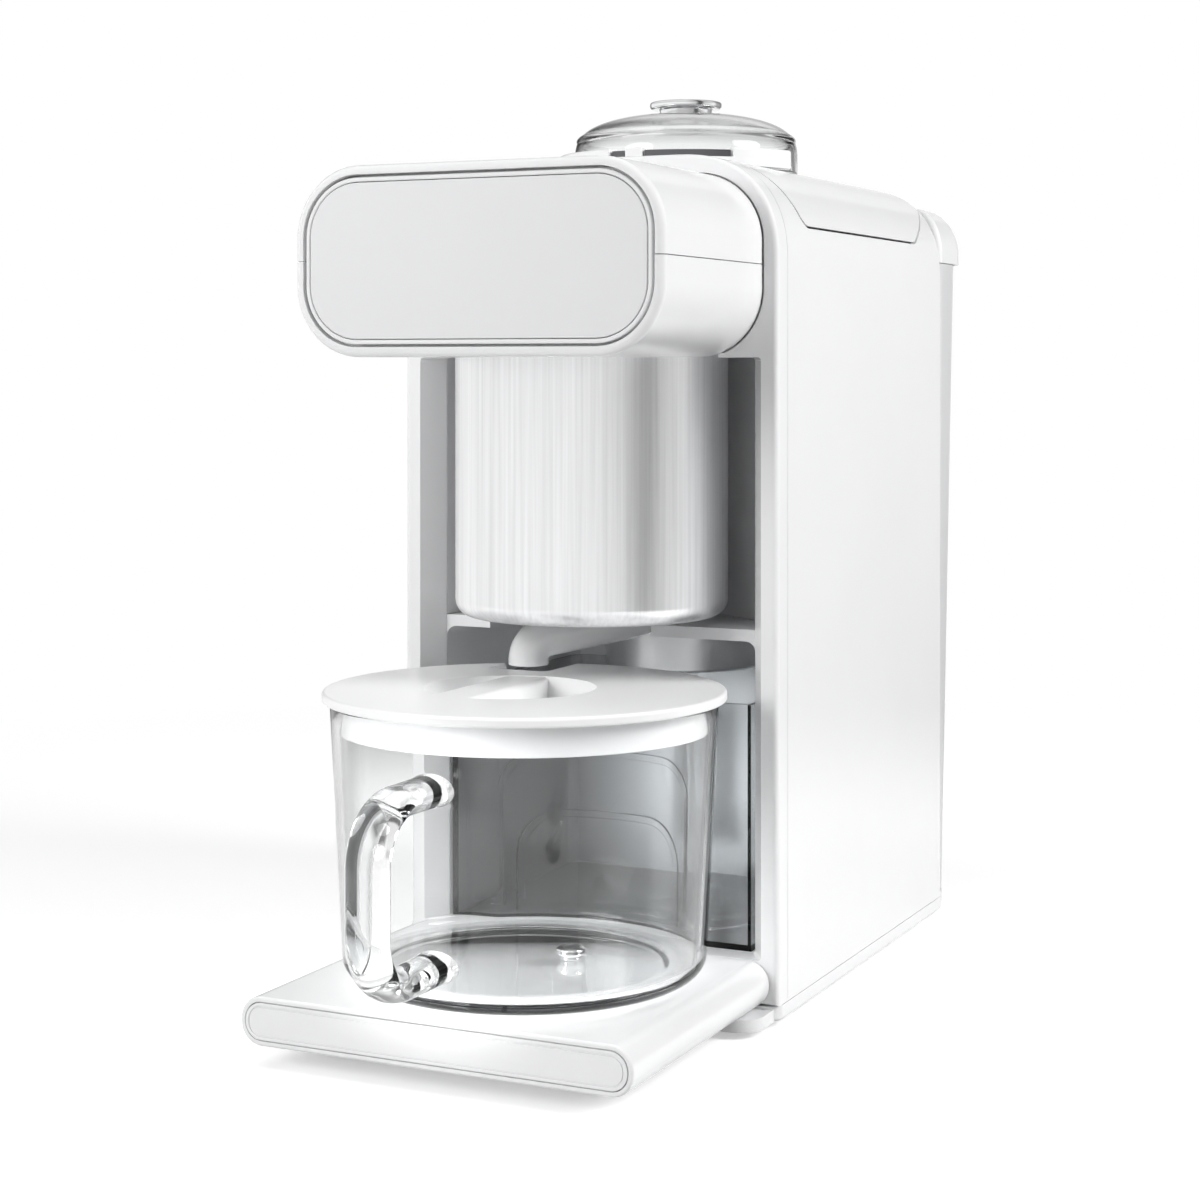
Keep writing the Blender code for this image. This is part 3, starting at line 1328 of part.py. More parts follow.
def tank_ring(height, inset, share):
    """Plan of the tank at a height; share runs from 0 at its foot to 1 at its top."""
    half = (TANK_FOOT_WIDTH + (TANK_TOP_WIDTH - TANK_FOOT_WIDTH) * share) * HALF_SHARE - inset
    front = rear(BODY_DEPTH) + CLEAR + inset
    back = rear(TANK_BACK - TANK_LEAN * (1 - share)) - inset
    deep = max(TANK_CORNER - inset, EDGE)
    small = max(TANK_FRONT_CORNER - inset, EDGE)
    outline = rounded((-half, front), (half, back), (small, small, deep, deep))
    return [(x, y, height) for x, y in outline]


def water_tank():
    low = BASE_TOP + CLEAR
    top = TANK_SEAM - CLEAR
    wall = TANK_WALL
    made = loft("water_tank", [tank_ring(low, 0, 0), tank_ring(top, 0, 1)], "milky_plastic")
    hollow = loft(
        "tank_hollow",
        [tank_ring(low + wall, wall, 0), tank_ring(top + OVERRUN, wall, 1)],
    )
    port = tank_port()
    hole = disc("valve_hole", port, VALVE_BODY + CLEAR, low - OVERRUN, low + wall + OVERRUN,
                sides=PLAIN)
    cut(made, hollow, hole)
    start = low + CLEAR
    lift = low + wall + CLEAR
    top = start + VALVE_HEIGHT
    profile = [(0.0, top), (VALVE_BODY, top), (VALVE_BODY, lift + wall), (VALVE_FLANGE, lift + wall)]
    profile += [(VALVE_FLANGE, lift), (VALVE_BODY, lift), (VALVE_BODY, start)]
    profile += [(VALVE_BORE, start), (VALVE_BORE, top - wall), (0.0, top - wall)]
    turned("tank_valve", port, profile, "black_plastic", PLAIN)


def tank_lid():
    low = TANK_SEAM
    top = TANK_LID_TOP
    bend = TANK_LID_ROUND
    rings = [tank_ring(low, 0.0, 1.0)]
    inner = [tank_ring(low - OVERRUN, TANK_WALL, 1.0)]
    for step in range(CORNER_STEPS + 1):
        angle = radians(90.0 * step / CORNER_STEPS)
        inset = bend * (1 - cos(angle)) * TANK_LID_INSET_SHARE
        height = top - bend + bend * sin(angle)
        rings.append(tank_ring(height, inset, 1.0))
        inner.append(tank_ring(height - TANK_WALL, inset + TANK_WALL, 1.0))
    made = loft("tank_lid", rings, "white_gloss")
    return cut(made, loft("lid_hollow", inner))


# Water path and electrics


def water_path():
    low = BASE_TOP
    pump = (-SERVICE_X, rear(SERVICE_DEPTH))
    heater = (SERVICE_X, rear(SERVICE_DEPTH))
    pump_top = low + PUMP_HEIGHT
    disc("water_pump", pump, PUMP_RADIUS, low, pump_top, "black_plastic", PLAIN)
    heater_top = low + HEATER_HEIGHT
    disc("flow_heater", heater, HEATER_RADIUS, low, heater_top, "cast_aluminium", PLAIN)

    gap = CLEAR
    bend = TUBE_RADIUS * 3
    lead = TUBE_RADIUS
    y = pump[1]
    start = pump[0] + PUMP_RADIUS + gap
    end = heater[0] - HEATER_RADIUS - gap
    height = pump_top - bend
    tube("pump_tube", led_route([(start, y, height), (start + lead, y, height),
                                 (start + bend, y, height), (end - bend, y, low + bend),
                                 (end - lead, y, low + bend), (end, y, low + bend)]),
         TUBE_RADIUS)

    back = rear(BODY_DEPTH - WALL) - lead - gap * 4
    height = low + bend * 2
    tube("inlet_tube", [(pump[0], pump[1] + PUMP_RADIUS + gap, height),
                        (pump[0], back - bend * HALF_SHARE, height),
                        (pump[0], back, height - bend * HALF_SHARE),
                        (pump[0], back, low + gap)], TUBE_RADIUS)

    height = CUP_BOTTOM + CUP_CORNER * 2
    side = GRINDER[1] + cup_radius(height) + gap
    tube("cup_feed_tube", led_route([
        (heater[0], heater[1], heater_top + gap),
        (heater[0], heater[1], heater_top + bend),
        (heater[0], heater[1], height - bend * 3),
        (heater[0] * HALF_SHARE, heater[1], height),
        (0.0, side + bend * 2, height),
        (0.0, side + lead * 2, height),
        (0.0, side, height),
    ]), TUBE_RADIUS)

    port = transfer_port()
    cover = cover_top() + LID_THICK + gap
    height = cover + bend * 2
    side = GRINDER[1] - cup_radius(height) - gap * 2
    tube("transfer_tube", led_route([
        (0.0, side, height),
        (0.0, side - lead, height),
        (0.0, side - bend, height),
        (port[0], port[1] + lead, height - lead),
        (port[0], port[1], cover + bend),
        (port[0], port[1], cover + lead),
        (port[0], port[1], cover),
    ]), TUBE_RADIUS)


def power_board():
    back = rear(BODY_DEPTH - WALL) - CLEAR
    front = back - PART_HEIGHT * HALF_SHARE
    half = POWER_BOARD_WIDTH * HALF_SHARE
    low = POWER_BOARD_LOW
    high = low + POWER_BOARD_HEIGHT
    made = block("power_board", (-half, front - BOARD_THICK, low), (half, front, high),
                 "circuit_green")
    for n, x in enumerate((-half + PART_HEIGHT * HALF_SHARE, half - PART_HEIGHT * HALF_SHARE)):
        post = block(f"power_post_{n}", (x - POST_RADIUS, front - BOARD_THICK * HALF_SHARE, low),
                     (x + POST_RADIUS, back, high))
        join(made, post)
    for n in range(3):
        base = low + PART_HEIGHT * (1 + 2 * n)
        part = block(f"power_part_{n}", (-PART_HEIGHT * 2, front - PART_HEIGHT, base),
                     (PART_HEIGHT * (n - 1), front - BOARD_THICK * HALF_SHARE, base + PART_HEIGHT))
        join(made, part)
    return made


def inlet_centre():
    return (-BODY_WIDTH * HALF_SHARE, rear(SERVICE_DEPTH), INLET_Z)


def power_inlet():
    """Recessed socket with three pins, in the left side of the housing."""
    x, y, z = inlet_centre()
    half_y, half_z = INLET_WIDTH * HALF_SHARE, INLET_HEIGHT * HALF_SHARE
    outer = x + CLEAR
    made = block("power_inlet", (outer, y - half_y, z - half_z),
                 (outer + INLET_DEPTH, y + half_y, z + half_z), "black_plastic")
    cavity = block(
        "inlet_cavity",
        (outer - OVERRUN, y - half_y + INLET_WALL, z - half_z + INLET_WALL),
        (outer + INLET_CAVITY, y + half_y - INLET_WALL, z + half_z - INLET_WALL),
    )
    cut(made, cavity)
    for n in range(3):
        pin_y = y + (n - 1) * PIN_SPACING
        pin_z = z + (PIN_HEIGHT if n == 1 else -PIN_HEIGHT)
        across, up = PIN_HEIGHT * HALF_SHARE, PIN_WIDTH * HALF_SHARE
        pin = block(
            f"inlet_pin_{n}",
            (outer + INLET_WALL, pin_y - across, pin_z - up),
            (outer + INLET_CAVITY + INLET_WALL, pin_y + across, pin_z + up),
        )
        join(made, pin)
    return made


def main():
    clear_scene()
    base_plate()
    feet()
    main_housing()
    top_cover()
    front_frame()
    bay_liner()
    niche_liner()
    tray()
    head_upper_shell()
    head_lower_shell()
    head_face()
    control_panel()
    control_board()
    grinding_cup()
    blade()
    motor()
    lid_collar()
    dome_lid()
    mixing_chamber()
    spout()
    jug()
    jug_stud()
    jug_lid()
    waste_box()
    water_tank()
    tank_lid()
    water_path()
    power_board()
    power_inlet()


main()
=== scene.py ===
import json
from math import acos, cos, degrees, pi, radians, sin, sqrt

import bmesh
import bpy
from bpy.props import FloatProperty, FloatVectorProperty, PointerProperty
from mathutils import Matrix, Vector


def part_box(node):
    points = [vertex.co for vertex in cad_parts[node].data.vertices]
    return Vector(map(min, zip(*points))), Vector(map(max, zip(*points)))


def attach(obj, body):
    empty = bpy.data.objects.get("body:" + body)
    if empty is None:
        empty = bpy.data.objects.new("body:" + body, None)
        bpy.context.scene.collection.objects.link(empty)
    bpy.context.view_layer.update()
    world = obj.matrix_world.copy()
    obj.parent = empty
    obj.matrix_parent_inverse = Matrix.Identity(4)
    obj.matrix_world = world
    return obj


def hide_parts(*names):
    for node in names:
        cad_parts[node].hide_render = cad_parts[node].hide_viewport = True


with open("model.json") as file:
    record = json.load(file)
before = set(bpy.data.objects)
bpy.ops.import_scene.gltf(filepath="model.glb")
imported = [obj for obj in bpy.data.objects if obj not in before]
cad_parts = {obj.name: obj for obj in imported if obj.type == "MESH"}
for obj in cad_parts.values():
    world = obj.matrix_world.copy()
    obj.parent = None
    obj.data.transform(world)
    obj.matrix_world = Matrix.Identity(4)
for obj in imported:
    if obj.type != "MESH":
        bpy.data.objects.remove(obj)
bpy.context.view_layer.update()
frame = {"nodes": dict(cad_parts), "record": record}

bl_info = {
    "name": "Soy Milk Maker",
    "version": (1, 0, 0),
    "blender": (4, 5, 0),
    "location": "3D View > Sidebar > Soy Milk Maker",
    "description": "Builds the finished pieces of a countertop soy milk maker around its frame",
    "category": "Add Mesh",
}


def centre_of(node):
    """Middle of a node's box, seen from above."""
    low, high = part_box(node)
    return ((low.x + high.x) / 2, (low.y + high.y) / 2)


# Places and sizes taken from the frame
FRONT, FRAME_BACK = (corner.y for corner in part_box("front_frame"))
BODY_LOW, BODY_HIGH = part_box("main_housing")
BODY_FOOT, BODY_TOP = BODY_LOW.z, BODY_HIGH.z
BODY_BACK, HALF_WIDTH = BODY_HIGH.y, BODY_HIGH.x
HEAD_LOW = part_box("head_lower_shell")[0]
HEAD_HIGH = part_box("head_upper_shell")[1]
HEAD_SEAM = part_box("head_upper_shell")[0].z
TRAY_LOW, TRAY_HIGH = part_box("tray")
SLEEVE_LOW, SLEEVE_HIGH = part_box("chamber_sleeve")
JUG_LOW, JUG_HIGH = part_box("jug")
LID_LOW, LID_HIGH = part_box("jug_lid")
DOME_LOW, DOME_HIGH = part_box("dome")
KNOB_LOW, KNOB_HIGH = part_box("dome_knob")
SPOUT_LOW, SPOUT_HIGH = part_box("spout")
MOTOR_LOW, MOTOR_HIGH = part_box("motor_housing")
CUP_LOW, CUP_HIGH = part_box("grinding_cup")
BOX_LOW, BOX_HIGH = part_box("waste_box")
TANK_LOW, TANK_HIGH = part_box("water_tank")
TANK_LID_LOW, TANK_LID_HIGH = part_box("tank_lid")
BASE_LOW, BASE_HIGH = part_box("base_plate")
GRINDER = centre_of("grinding_cup")
CHAMBER = centre_of("chamber_sleeve")
JUG = ((LID_LOW.x + LID_HIGH.x) / 2, LID_LOW.y + (LID_HIGH.x - LID_LOW.x) / 2)

# Body
SEAM_GAP = 0.0003
ARCH_CORNER = 0.0465
ARCH_SHARE = 0.83
ARCH_STEPS = 20
SHELL_WALL = 0.0025
SHELL_ROUND = 0.0015
BAND = 0.0075
OPENING_LOW = 0.0283
OPENING_CORNER = 0.0015
OPENING_ROUND = 0.0012
SEAT_GAP = 0.0037
SEAT_HEIGHT = 0.0090
BAY_HALF = 0.0743
BAY_TOP = 0.1596
BAY_ROOF = 0.0050
BAY_BACK = FRONT + 0.1500
BAY_WALL = 0.0022
BAY_CORNER = 0.0100
BAY_BEND = 0.0045
BAY_ROUND = 0.0006
NICHE_BACK = FRONT + 0.0685
NICHE_WALL = 0.0015
NICHE_STEPS = 44

# Base, feet and tray
BASE_CORNER = 0.0068
BASE_ROUND = 0.0022
SHELF_CORNER = 0.0255
TONGUE_HALF = 0.0865
TONGUE_BACK = 0.0255
TONGUE_CORNER = 0.0110
TONGUE_HIGH = 0.0052
SPIGOT_RADIUS = 0.0042
SPIGOT_ROOT = 0.0030
FEET = ("front_foot_left", "front_foot_right", "rear_foot_left", "rear_foot_right")
TRAY_EASE = 0.0004
TRAY_ROUND = 0.0011
TRAY_POCKET = 0.0021
TRAY_POCKET_DEPTH = 0.0023
TRIM_INSET = 0.0024
TRIM_THICK = 0.0022
TRIM_GROOVE = (0.0038, 0.0043)
TRIM_GROOVE_DEPTH = 0.0004

# Top cover, measured back from the front
COVER_FRONT = 0.0180
COVER_SHOULDER = 0.0365
COVER_SEAM = 0.3365
COVER_REAR = 0.1900
COVER_SLOPE = 0.0460
COVER_CORNER = 0.0060
COVER_GAP = 0.0010

# Head
HEAD_CORNER = 0.0290
FACE_RIM = 0.0040
FACE_GROOVE = 0.0011
FACE_RING = 0.0018
FACE_THICK = 0.0030
FACE_BACK = 0.0004
FACE_GROOVE_DEPTH = 0.0057
HEAD_SLOT = 0.0006
HEAD_SLOT_INNER = 0.0030
HEAD_SLOT_DEPTH = 0.0060
PANEL_CORNER = 0.0060
PANEL_KEYS = 5
KEY_SHARE = 0.32
KEY_DEPTH = 0.0003

# Grinding unit and dome lid
CUP_WALL = 0.0012
CUP_FOOT = 0.0380
CUP_RIM = 0.0025
SHAFT_HOLE = 0.0045
MOTOR_RADIUS = 0.0378
MOTOR_WALL = 0.0020
DOME_SHOULDER = 0.0233
DOME_ACROSS_SHARE = 0.97
DOME_RISE_SHARE = 0.58
BEAD_DROP = 0.0122
BEAD_HEIGHT = 0.0020
BEAD_PROUD = 0.0009
NECK_HEIGHT = 0.0018
NECK_RADIUS = 0.0125
COLLAR_OUTER = 0.0605
COLLAR_INNER = 0.0550
COLLAR_REACH = 76.0
COLLAR_SLOTS = ((4.0, 44.0), (-12.0, -4.0))
COLLAR_SLOT_DEPTH = 0.0044
INSERT_GAP = 0.8

# Chamber and spout
SLEEVE_RADIUS = 0.0591
SLEEVE_WALL = 0.0010
SLEEVE_BEND = 0.0075
PIVOT = (0.0140, FRONT + 0.0420)
SPOUT_ACROSS = 0.0440
SPOUT_FORWARD = 0.0365
SPOUT_REACH = sqrt(SPOUT_ACROSS ** 2 + SPOUT_FORWARD ** 2)
SPOUT_TIP = (PIVOT[0] - SPOUT_ACROSS, PIVOT[1] - SPOUT_FORWARD)
SPOUT_RADIUS = 0.0088
SPOUT_WALL = 0.0022
SPOUT_SLOPE = 80.0
SPOUT_BEND = 0.0103

# Jug
JUG_TOP_RADIUS = 0.0796
JUG_FOOT_RADIUS = 0.0741
JUG_FLOOR = 0.0050
JUG_CORNER = 0.0080
JUG_RIM_ROUND = 0.0011
HANDLE_DROP = 0.0250
HANDLE_HEIGHT = 0.0680
HANDLE_REACH = 0.0450
HANDLE_BEND = 0.0220
HANDLE_WIDE = 0.0180
HANDLE_DEEP = 0.0120
ROOT_FLARE = 0.10
ROOT_REACH = 0.0030
LID_THICK = 0.0040
LID_SHEET = 0.0020
LID_PLAY = 0.0008
SKIRT_TAPER = 0.0005
WELL_RADIUS = 0.0360
WELL_FOOT_SHARE = 0.94
WELL_DEPTH = 0.0115
WELL_X = -0.0070
GRIP_X = -0.0170
GRIP_WIDTH = 0.0200
GRIP_ROUND = 0.0022
NOTCH_WIDTH = 0.0300
NOTCH_FRONT = 0.0125
NOTCH_CORNER = 0.0040

# Waste box and tank
BOX_WALL = 0.0022
BOX_CORNER = 0.0080
BOX_JUG_GAP = 0.0040
# Half width and height of the outer and of the inner rib
RIBS = ((0.0490, 0.0750), (0.0410, 0.0480))
RIB_PROUD = 0.0017
RIB_WIDTH = 0.0030
RIB_CORNER = 0.0200
TANK_WALL = 0.0022
TANK_CORNER = 0.0250
TANK_FRONT_CORNER = 0.0030
TANK_LEAN = 0.0200
TANK_TAPER = 0.0033
TANK_ROUND = 0.0012
TANK_PORT = 0.0088
TANK_LID_ROUND = 0.0240
TANK_LID_STEPS = 12

# Pieces inside the body that keep the frame's form
INNER = ("control_board", "cup_support", "motor_stator", "mixing_pot", "chamber_cover",
         "outlet_valve", "water_pump", "flow_heater", "pump_tube", "inlet_tube", "cup_feed_tube",
         "transfer_tube", "power_board", "power_inlet", "drive_shaft", "motor_rotor",
         "tank_valve")

# How far a tool reaches past what it cuts, the least distance that counts, and a sharp corner
OVER = 0.0020
TINY = 1e-6
SHARP = 0.0005

# Stage: angles are in degrees, a dark band is its middle, half width and depth
CAMERA_PLACE = (0.4404, -0.96035, 0.2767)
CAMERA_TURN = 25.3708
CAMERA_SHIFT = -0.19598
CAMERA_LENS = 70.505
CAMERA_FAR = 50.0
FLOOR_RADIUS = 6.0
FLOOR_LIFT = 0.40
FLOOR_FAR = 0.45
FLOOR_FADE = 2.2
WORLD_LEVEL = 0.14
WORLD_LEAN = 0.20
ROOM_FALL = 0.25
BAND_EDGE = 1.6
SHELF_EDGE = 1.8
DARK_BANDS = ((72.0, 52.0, 0.30), (70.0, 15.0, 0.85), (150.0, 24.0, 0.6), (176.0, 20.0, 0.7),
              (-136.0, 16.0, 0.8))
DARK_SHELF = (0.30, 0.16, 0.3)
# Name, place, size, spread of its beam in degrees, power and aim
LAMPS = (
    ("front_left", (-0.80, -1.45, 0.80), 1.0, 180.0, 19.0, (0.0, 0.0, 0.25)),
    ("bay_front", (0.0, -1.75, 0.10), 0.06, 3.6, 0.05, (0.0, 0.1, 0.075)),
    ("side_right", (1.60, 0.15, 1.05), 1.0, 180.0, 31.0, (0.0, 0.0, 0.20)),
    ("top_left", (-0.60, -0.40, 1.60), 0.9, 180.0, 6.0, (0.0, 0.0, 0.20)),
)


# Sizes and colours that a user would change


def length(name, description, default):
    return FloatProperty(name=name, description=description, default=default, min=0.0,
                         unit="LENGTH", subtype="DISTANCE", precision=4)


def colour(name, description, default):
    return FloatVectorProperty(name=name, description=description, default=default, size=3,
                               min=0.0, max=1.0, subtype="COLOR")


class MachineSizes(bpy.types.PropertyGroup):
    """Small sizes of the finished pieces."""

    frame_round: length("Frame rounding", "Rounding of the front frame's outer edge", 0.0024)
    seam_round: length("Seam rounding", "Rounding of the edges along the seams", 0.0005)
    head_round: length("Head rounding", "Rounding of the head's front edge", 0.0030)
    glass_wall: length("Jug wall", "Thickness of the jug's glass", 0.0034)
    dome_wall: length("Dome wall", "Thickness of the dome lid", 0.0022)
    brush_width: length("Brush lines", "Width of the finest lines in the brushed steel", 0.0004)


class MachineColours(bpy.types.PropertyGroup):
    """Colours of the finished pieces."""

    shell: colour("Shell", "Gloss white of the housing", (0.86, 0.862, 0.868))
    liner: colour("Liner", "Satin white of the inner walls", (0.80, 0.803, 0.81))
    plate: colour("Front plate", "Pearl grey of the head's front plate", (0.80, 0.803, 0.81))
    lid: colour("Jug lid", "Milky white of the jug's lid", (0.93, 0.932, 0.935))
    steel: colour("Steel", "Brushed and polished steel", (0.90, 0.903, 0.91))
    glass: colour("Glass", "Tint of the clear glass", (0.985, 0.99, 0.99))
    rubber: colour("Rubber", "Feet", (0.03, 0.03, 0.032))


# Shader maths


class Value:
    """A shader number. Sums and products of values add Math nodes."""

    def __init__(self, graph, socket):
        self.graph = graph
        self.socket = socket

    def math(self, operation, first, second=0.0):
        return self.graph.node("ShaderNodeMath", {"operation": operation}, {0: first, 1: second})

    def __add__(self, other):
        return self.math("ADD", self, other)

    __radd__ = __add__

    def __mul__(self, other):
        return self.math("MULTIPLY", self, other)

    __rmul__ = __mul__

    def __sub__(self, other):
        return self.math("SUBTRACT", self, other)

    def __rsub__(self, other):
        return self.math("SUBTRACT", other, self)

    def __truediv__(self, other):
        return self.math("DIVIDE", self, other)

    def __abs__(self):
        return self.math("ABSOLUTE", self)

    def least(self, other):
        return self.math("MINIMUM", self, other)

    def most(self, other):
        return self.math("MAXIMUM", self, other)

    def clamped(self):
        return self.most(0.0).least(1.0)


class Graph:
    """Nodes of one material or of the world."""

    def __init__(self, tree):
        self.tree = tree
        tree.nodes.clear()

    def node(self, kind, settings=None, values=None, output=0):
        """A node with its settings and inputs; gives one output, or each that a tuple names."""
        made = self.tree.nodes.new(kind)
        for name, setting in (settings or {}).items():
            setattr(made, name, setting)
        for name, value in (values or {}).items():
            if isinstance(value, Value):
                self.tree.links.new(value.socket, made.inputs[name])
            else:
                made.inputs[name].default_value = value
        if isinstance(output, tuple):
            return [Value(self, made.outputs[name]) for name in output]
        return Value(self, made.outputs[output]) if made.outputs else None

    def mix(self, share, first, second):
        return self.node("ShaderNodeMix", {"data_type": "RGBA"},
                         {0: share, 6: first, 7: second}, 2)

    def noise(self, place, scale, detail=2.0, stretch=None):
        if stretch:
            place = self.node("ShaderNodeMapping", None, {"Vector": place, "Scale": stretch})
        return self.node("ShaderNodeTexNoise", None,
                         {"Vector": place, "Scale": scale, "Detail": detail})

    def bump(self, height, strength, distance):
        return self.node("ShaderNodeBump", None,
                         {"Height": height, "Strength": strength, "Distance": distance})

    def place(self, output="Object"):
        return self.node("ShaderNodeTexCoord", None, None, output)

    def parts(self, vector):
        """The three numbers of a vector."""
        return self.node("ShaderNodeSeparateXYZ", None, {0: vector}, (0, 1, 2))

    def turn(self, x, y):
        """Angle about the upright axis, from the front."""
        return self.node("ShaderNodeMath", {"operation": "ARCTAN2"}, {0: x, 1: y * -1.0})

    def grey(self, level):
        return self.node("ShaderNodeCombineColor", None, {0: level, 1: level, 2: level})

    def principled(self, values):
        return self.node("ShaderNodeBsdfPrincipled", None, values)

    def mixed(self, share, first, second):
        return self.node("ShaderNodeMixShader", None, {0: share, 1: first, 2: second})

    def surface(self, shader, kind="ShaderNodeOutputMaterial"):
        self.node(kind, None, {"Surface": shader})


def solid(shade, share=1.0):
    """A colour with full opacity, made lighter or darker by a share."""
    return (shade[0] * share, shade[1] * share, shade[2] * share, 1.0)


def new_look(name):
    look = bpy.data.materials.new(name)
    look.use_nodes = True
    return look, Graph(look.node_tree)


def moulded(name, shade, rough, grain_scale, grain, **fixed):
    """Moulded plastic or paint: faint clouding of colour and gloss, and a fine grain."""
    look, graph = new_look(name)
    place = graph.place()
    cloud = graph.noise(place, 14.0, 3.0)
    fine = graph.noise(place, grain_scale, 2.0)
    wave = graph.noise(place, 45.0, 1.0)
    graph.surface(graph.principled({
        "Base Color": graph.mix(cloud, solid(shade, 0.975), solid(shade, 1.015)),
        "Roughness": rough * 0.85 + cloud * (rough * 0.3) + fine * (rough * 0.06),
        "Normal": graph.bump(fine * 0.6 + wave * 0.4, grain, 0.0003),
        **fixed,
    }))
    return look


def brushed(name, shade, rough, width, stretch, depth):
    """Steel with brush lines, drawn along the axis in which the pattern is stretched."""
    look, graph = new_look(name)
    place = graph.place()
    broad = graph.noise(place, 120.0, 2.0, stretch)
    lines = graph.noise(place, 0.25 / width, 3.0, stretch)
    cloud = graph.noise(place, 10.0, 2.0)
    crisp = ((lines - 0.5) * 2.4 + 0.5).clamped()
    graph.surface(graph.principled({
        "Base Color": graph.mix(crisp * 0.6 + broad * 0.4, solid(shade, 0.84),
                                solid(shade, 1.10)),
        "Metallic": 1.0,
        "Roughness": rough * 0.75 + lines * (rough * 0.35) + cloud * (rough * 0.2),
        "Normal": graph.bump(lines * 0.6 + broad * 0.4, depth, 0.0002),
    }))
    return look


def polished(name, shade, rough, scale, depth):
    """Smooth metal with faint marks."""
    look, graph = new_look(name)
    place = graph.place()
    cloud = graph.noise(place, 60.0, 3.0)
    marks = graph.noise(place, scale, 4.0)
    graph.surface(graph.principled({
        "Base Color": graph.mix(cloud, solid(shade, 0.92), solid(shade, 1.05)),
        "Metallic": 1.0,
        "Roughness": rough * 0.7 + cloud * (rough * 0.4) + marks * (rough * 0.2),
        "Normal": graph.bump(marks, depth, 0.0002),
    }))
    return look


def clear(name, shade, rough, index, waves, rim):
    """Clear glass or plastic that lets light through, with painted shade that darkens its colour
    where it is seen edge on, in place of the dark edges that refraction of its surroundings gives.
    """
    look, graph = new_look(name)
    place = graph.place()
    cloud = graph.noise(place, 26.0, 2.0)
    fine = graph.noise(place, 160.0, 2.0)
    slant = graph.node("ShaderNodeLayerWeight", None, {"Blend": 0.5}, "Facing")
    inside = graph.node("ShaderNodeNewGeometry", None, None, "Backfacing")
    # Painted shade: seen edge on from outside, the colour is darkened towards the rim share,
    # standing in for dark refracted edges
    edge = ((slant - 0.5) * 2.8).clamped() * (1.0 - inside)
    tone = graph.mix(cloud, solid(shade, 0.99), solid(shade, 1.0))
    shader = graph.principled({
        "Base Color": graph.mix(edge, tone, solid(shade, rim)),
        "Roughness": cloud * rough + fine * (rough * 0.5),
        "IOR": index,
        "Transmission Weight": 1.0,
        "Normal": graph.bump(cloud * 0.7 + fine * 0.3, waves, 0.0006),
    })
    through = graph.node("ShaderNodeBsdfTransparent", None, {"Color": solid(shade, 0.99)})
    shadow = graph.node("ShaderNodeLightPath", None, None, "Is Shadow Ray")
    graph.surface(graph.mixed(shadow, shader, through))
    return look


def milky(name, shade, rough, through_share):
    """Plastic that lets some light through without a clear view."""
    look, graph = new_look(name)
    place = graph.place()
    cloud = graph.noise(place, 20.0, 2.0)
    fine = graph.noise(place, 900.0, 2.0)
    graph.surface(graph.principled({
        "Base Color": graph.mix(cloud, solid(shade, 0.98), solid(shade, 1.01)),
        "Roughness": rough * 0.85 + cloud * (rough * 0.3),
        "IOR": 1.46,
        "Transmission Weight": through_share,
        "Normal": graph.bump(fine, 0.08, 0.0002),
    }))
    return look


LOOKS = {}


def make_looks():
    """One finish for each material slot of the record, and a few more for parts of pieces."""
    shades = bpy.context.scene.soy_maker_colours
    sizes = bpy.context.scene.soy_maker_sizes
    upright = (1.0, 1.0, 0.012)
    for look, make, *given in (
        ("white_gloss", moulded, shades.shell, 0.22, 700.0, 0.05,
         {"Coat Weight": 0.35, "Coat Roughness": 0.08}),
        ("white_satin", moulded, shades.liner, 0.38, 900.0, 0.12),
        ("pale_grey", moulded, shades.plate, 0.34, 900.0, 0.06,
         {"Coat Weight": 0.3, "Coat Roughness": 0.22}),
        # For the clear finishes the last number is the share of colour kept in their painted edge
        # shade
        ("clear_glass", clear, shades.glass, 0.01, 1.36, 0.008, 0.42),
        ("clear_plastic", clear, (0.74, 0.745, 0.75), 0.02, 1.33, 0.03, 0.40),
        ("milky_plastic", milky, (0.70, 0.703, 0.71), 0.32, 0.12),
        ("jug_lid", moulded, shades.lid, 0.30, 800.0, 0.05),
        ("lid_skirt", moulded, shades.liner, 0.24, 800.0, 0.05, {"Alpha": 0.66}),
        ("brushed_steel", brushed, shades.steel, 0.34, sizes.brush_width, upright, 0.10),
        ("polished_steel", polished, shades.steel, 0.14, 400.0, 0.04),
        ("cast_aluminium", polished, (0.86, 0.863, 0.87), 0.42, 1400.0, 0.18),
        ("dark_rubber", moulded, shades.rubber, 0.75, 1500.0, 0.35),
        ("silicone", milky, (0.82, 0.82, 0.80), 0.50, 0.15),
        ("circuit_green", moulded, (0.02, 0.14, 0.06), 0.42, 500.0, 0.4),
        ("dark_iron", polished, (0.20, 0.20, 0.21), 0.50, 900.0, 0.3),
        ("black_plastic", moulded, (0.022, 0.022, 0.024), 0.42, 1100.0, 0.25),
    ):
        fixed = given.pop() if isinstance(given[-1], dict) else {}
        LOOKS[look] = make(look + "_finish", *given, **fixed)


# Shapes


def flat(corners, place, segments=12):
    """Flat face from a few corners (across, up, radius), each rounded by a vertex bevel."""
    work = bmesh.new()
    verts = [work.verts.new(place(across, up)) for across, up, radius in corners]
    work.faces.new(verts)
    for radius in sorted({radius for across, up, radius in corners if radius}):
        chosen = [vert for vert, corner in zip(verts, corners) if corner[2] == radius]
        bmesh.ops.bevel(work, geom=chosen, offset=radius, offset_type="OFFSET", affect="VERTICES",
                        segments=segments, profile=0.5, material=-1, clamp_overlap=True)
    bmesh.ops.remove_doubles(work, verts=work.verts[:], dist=TINY)
    return work


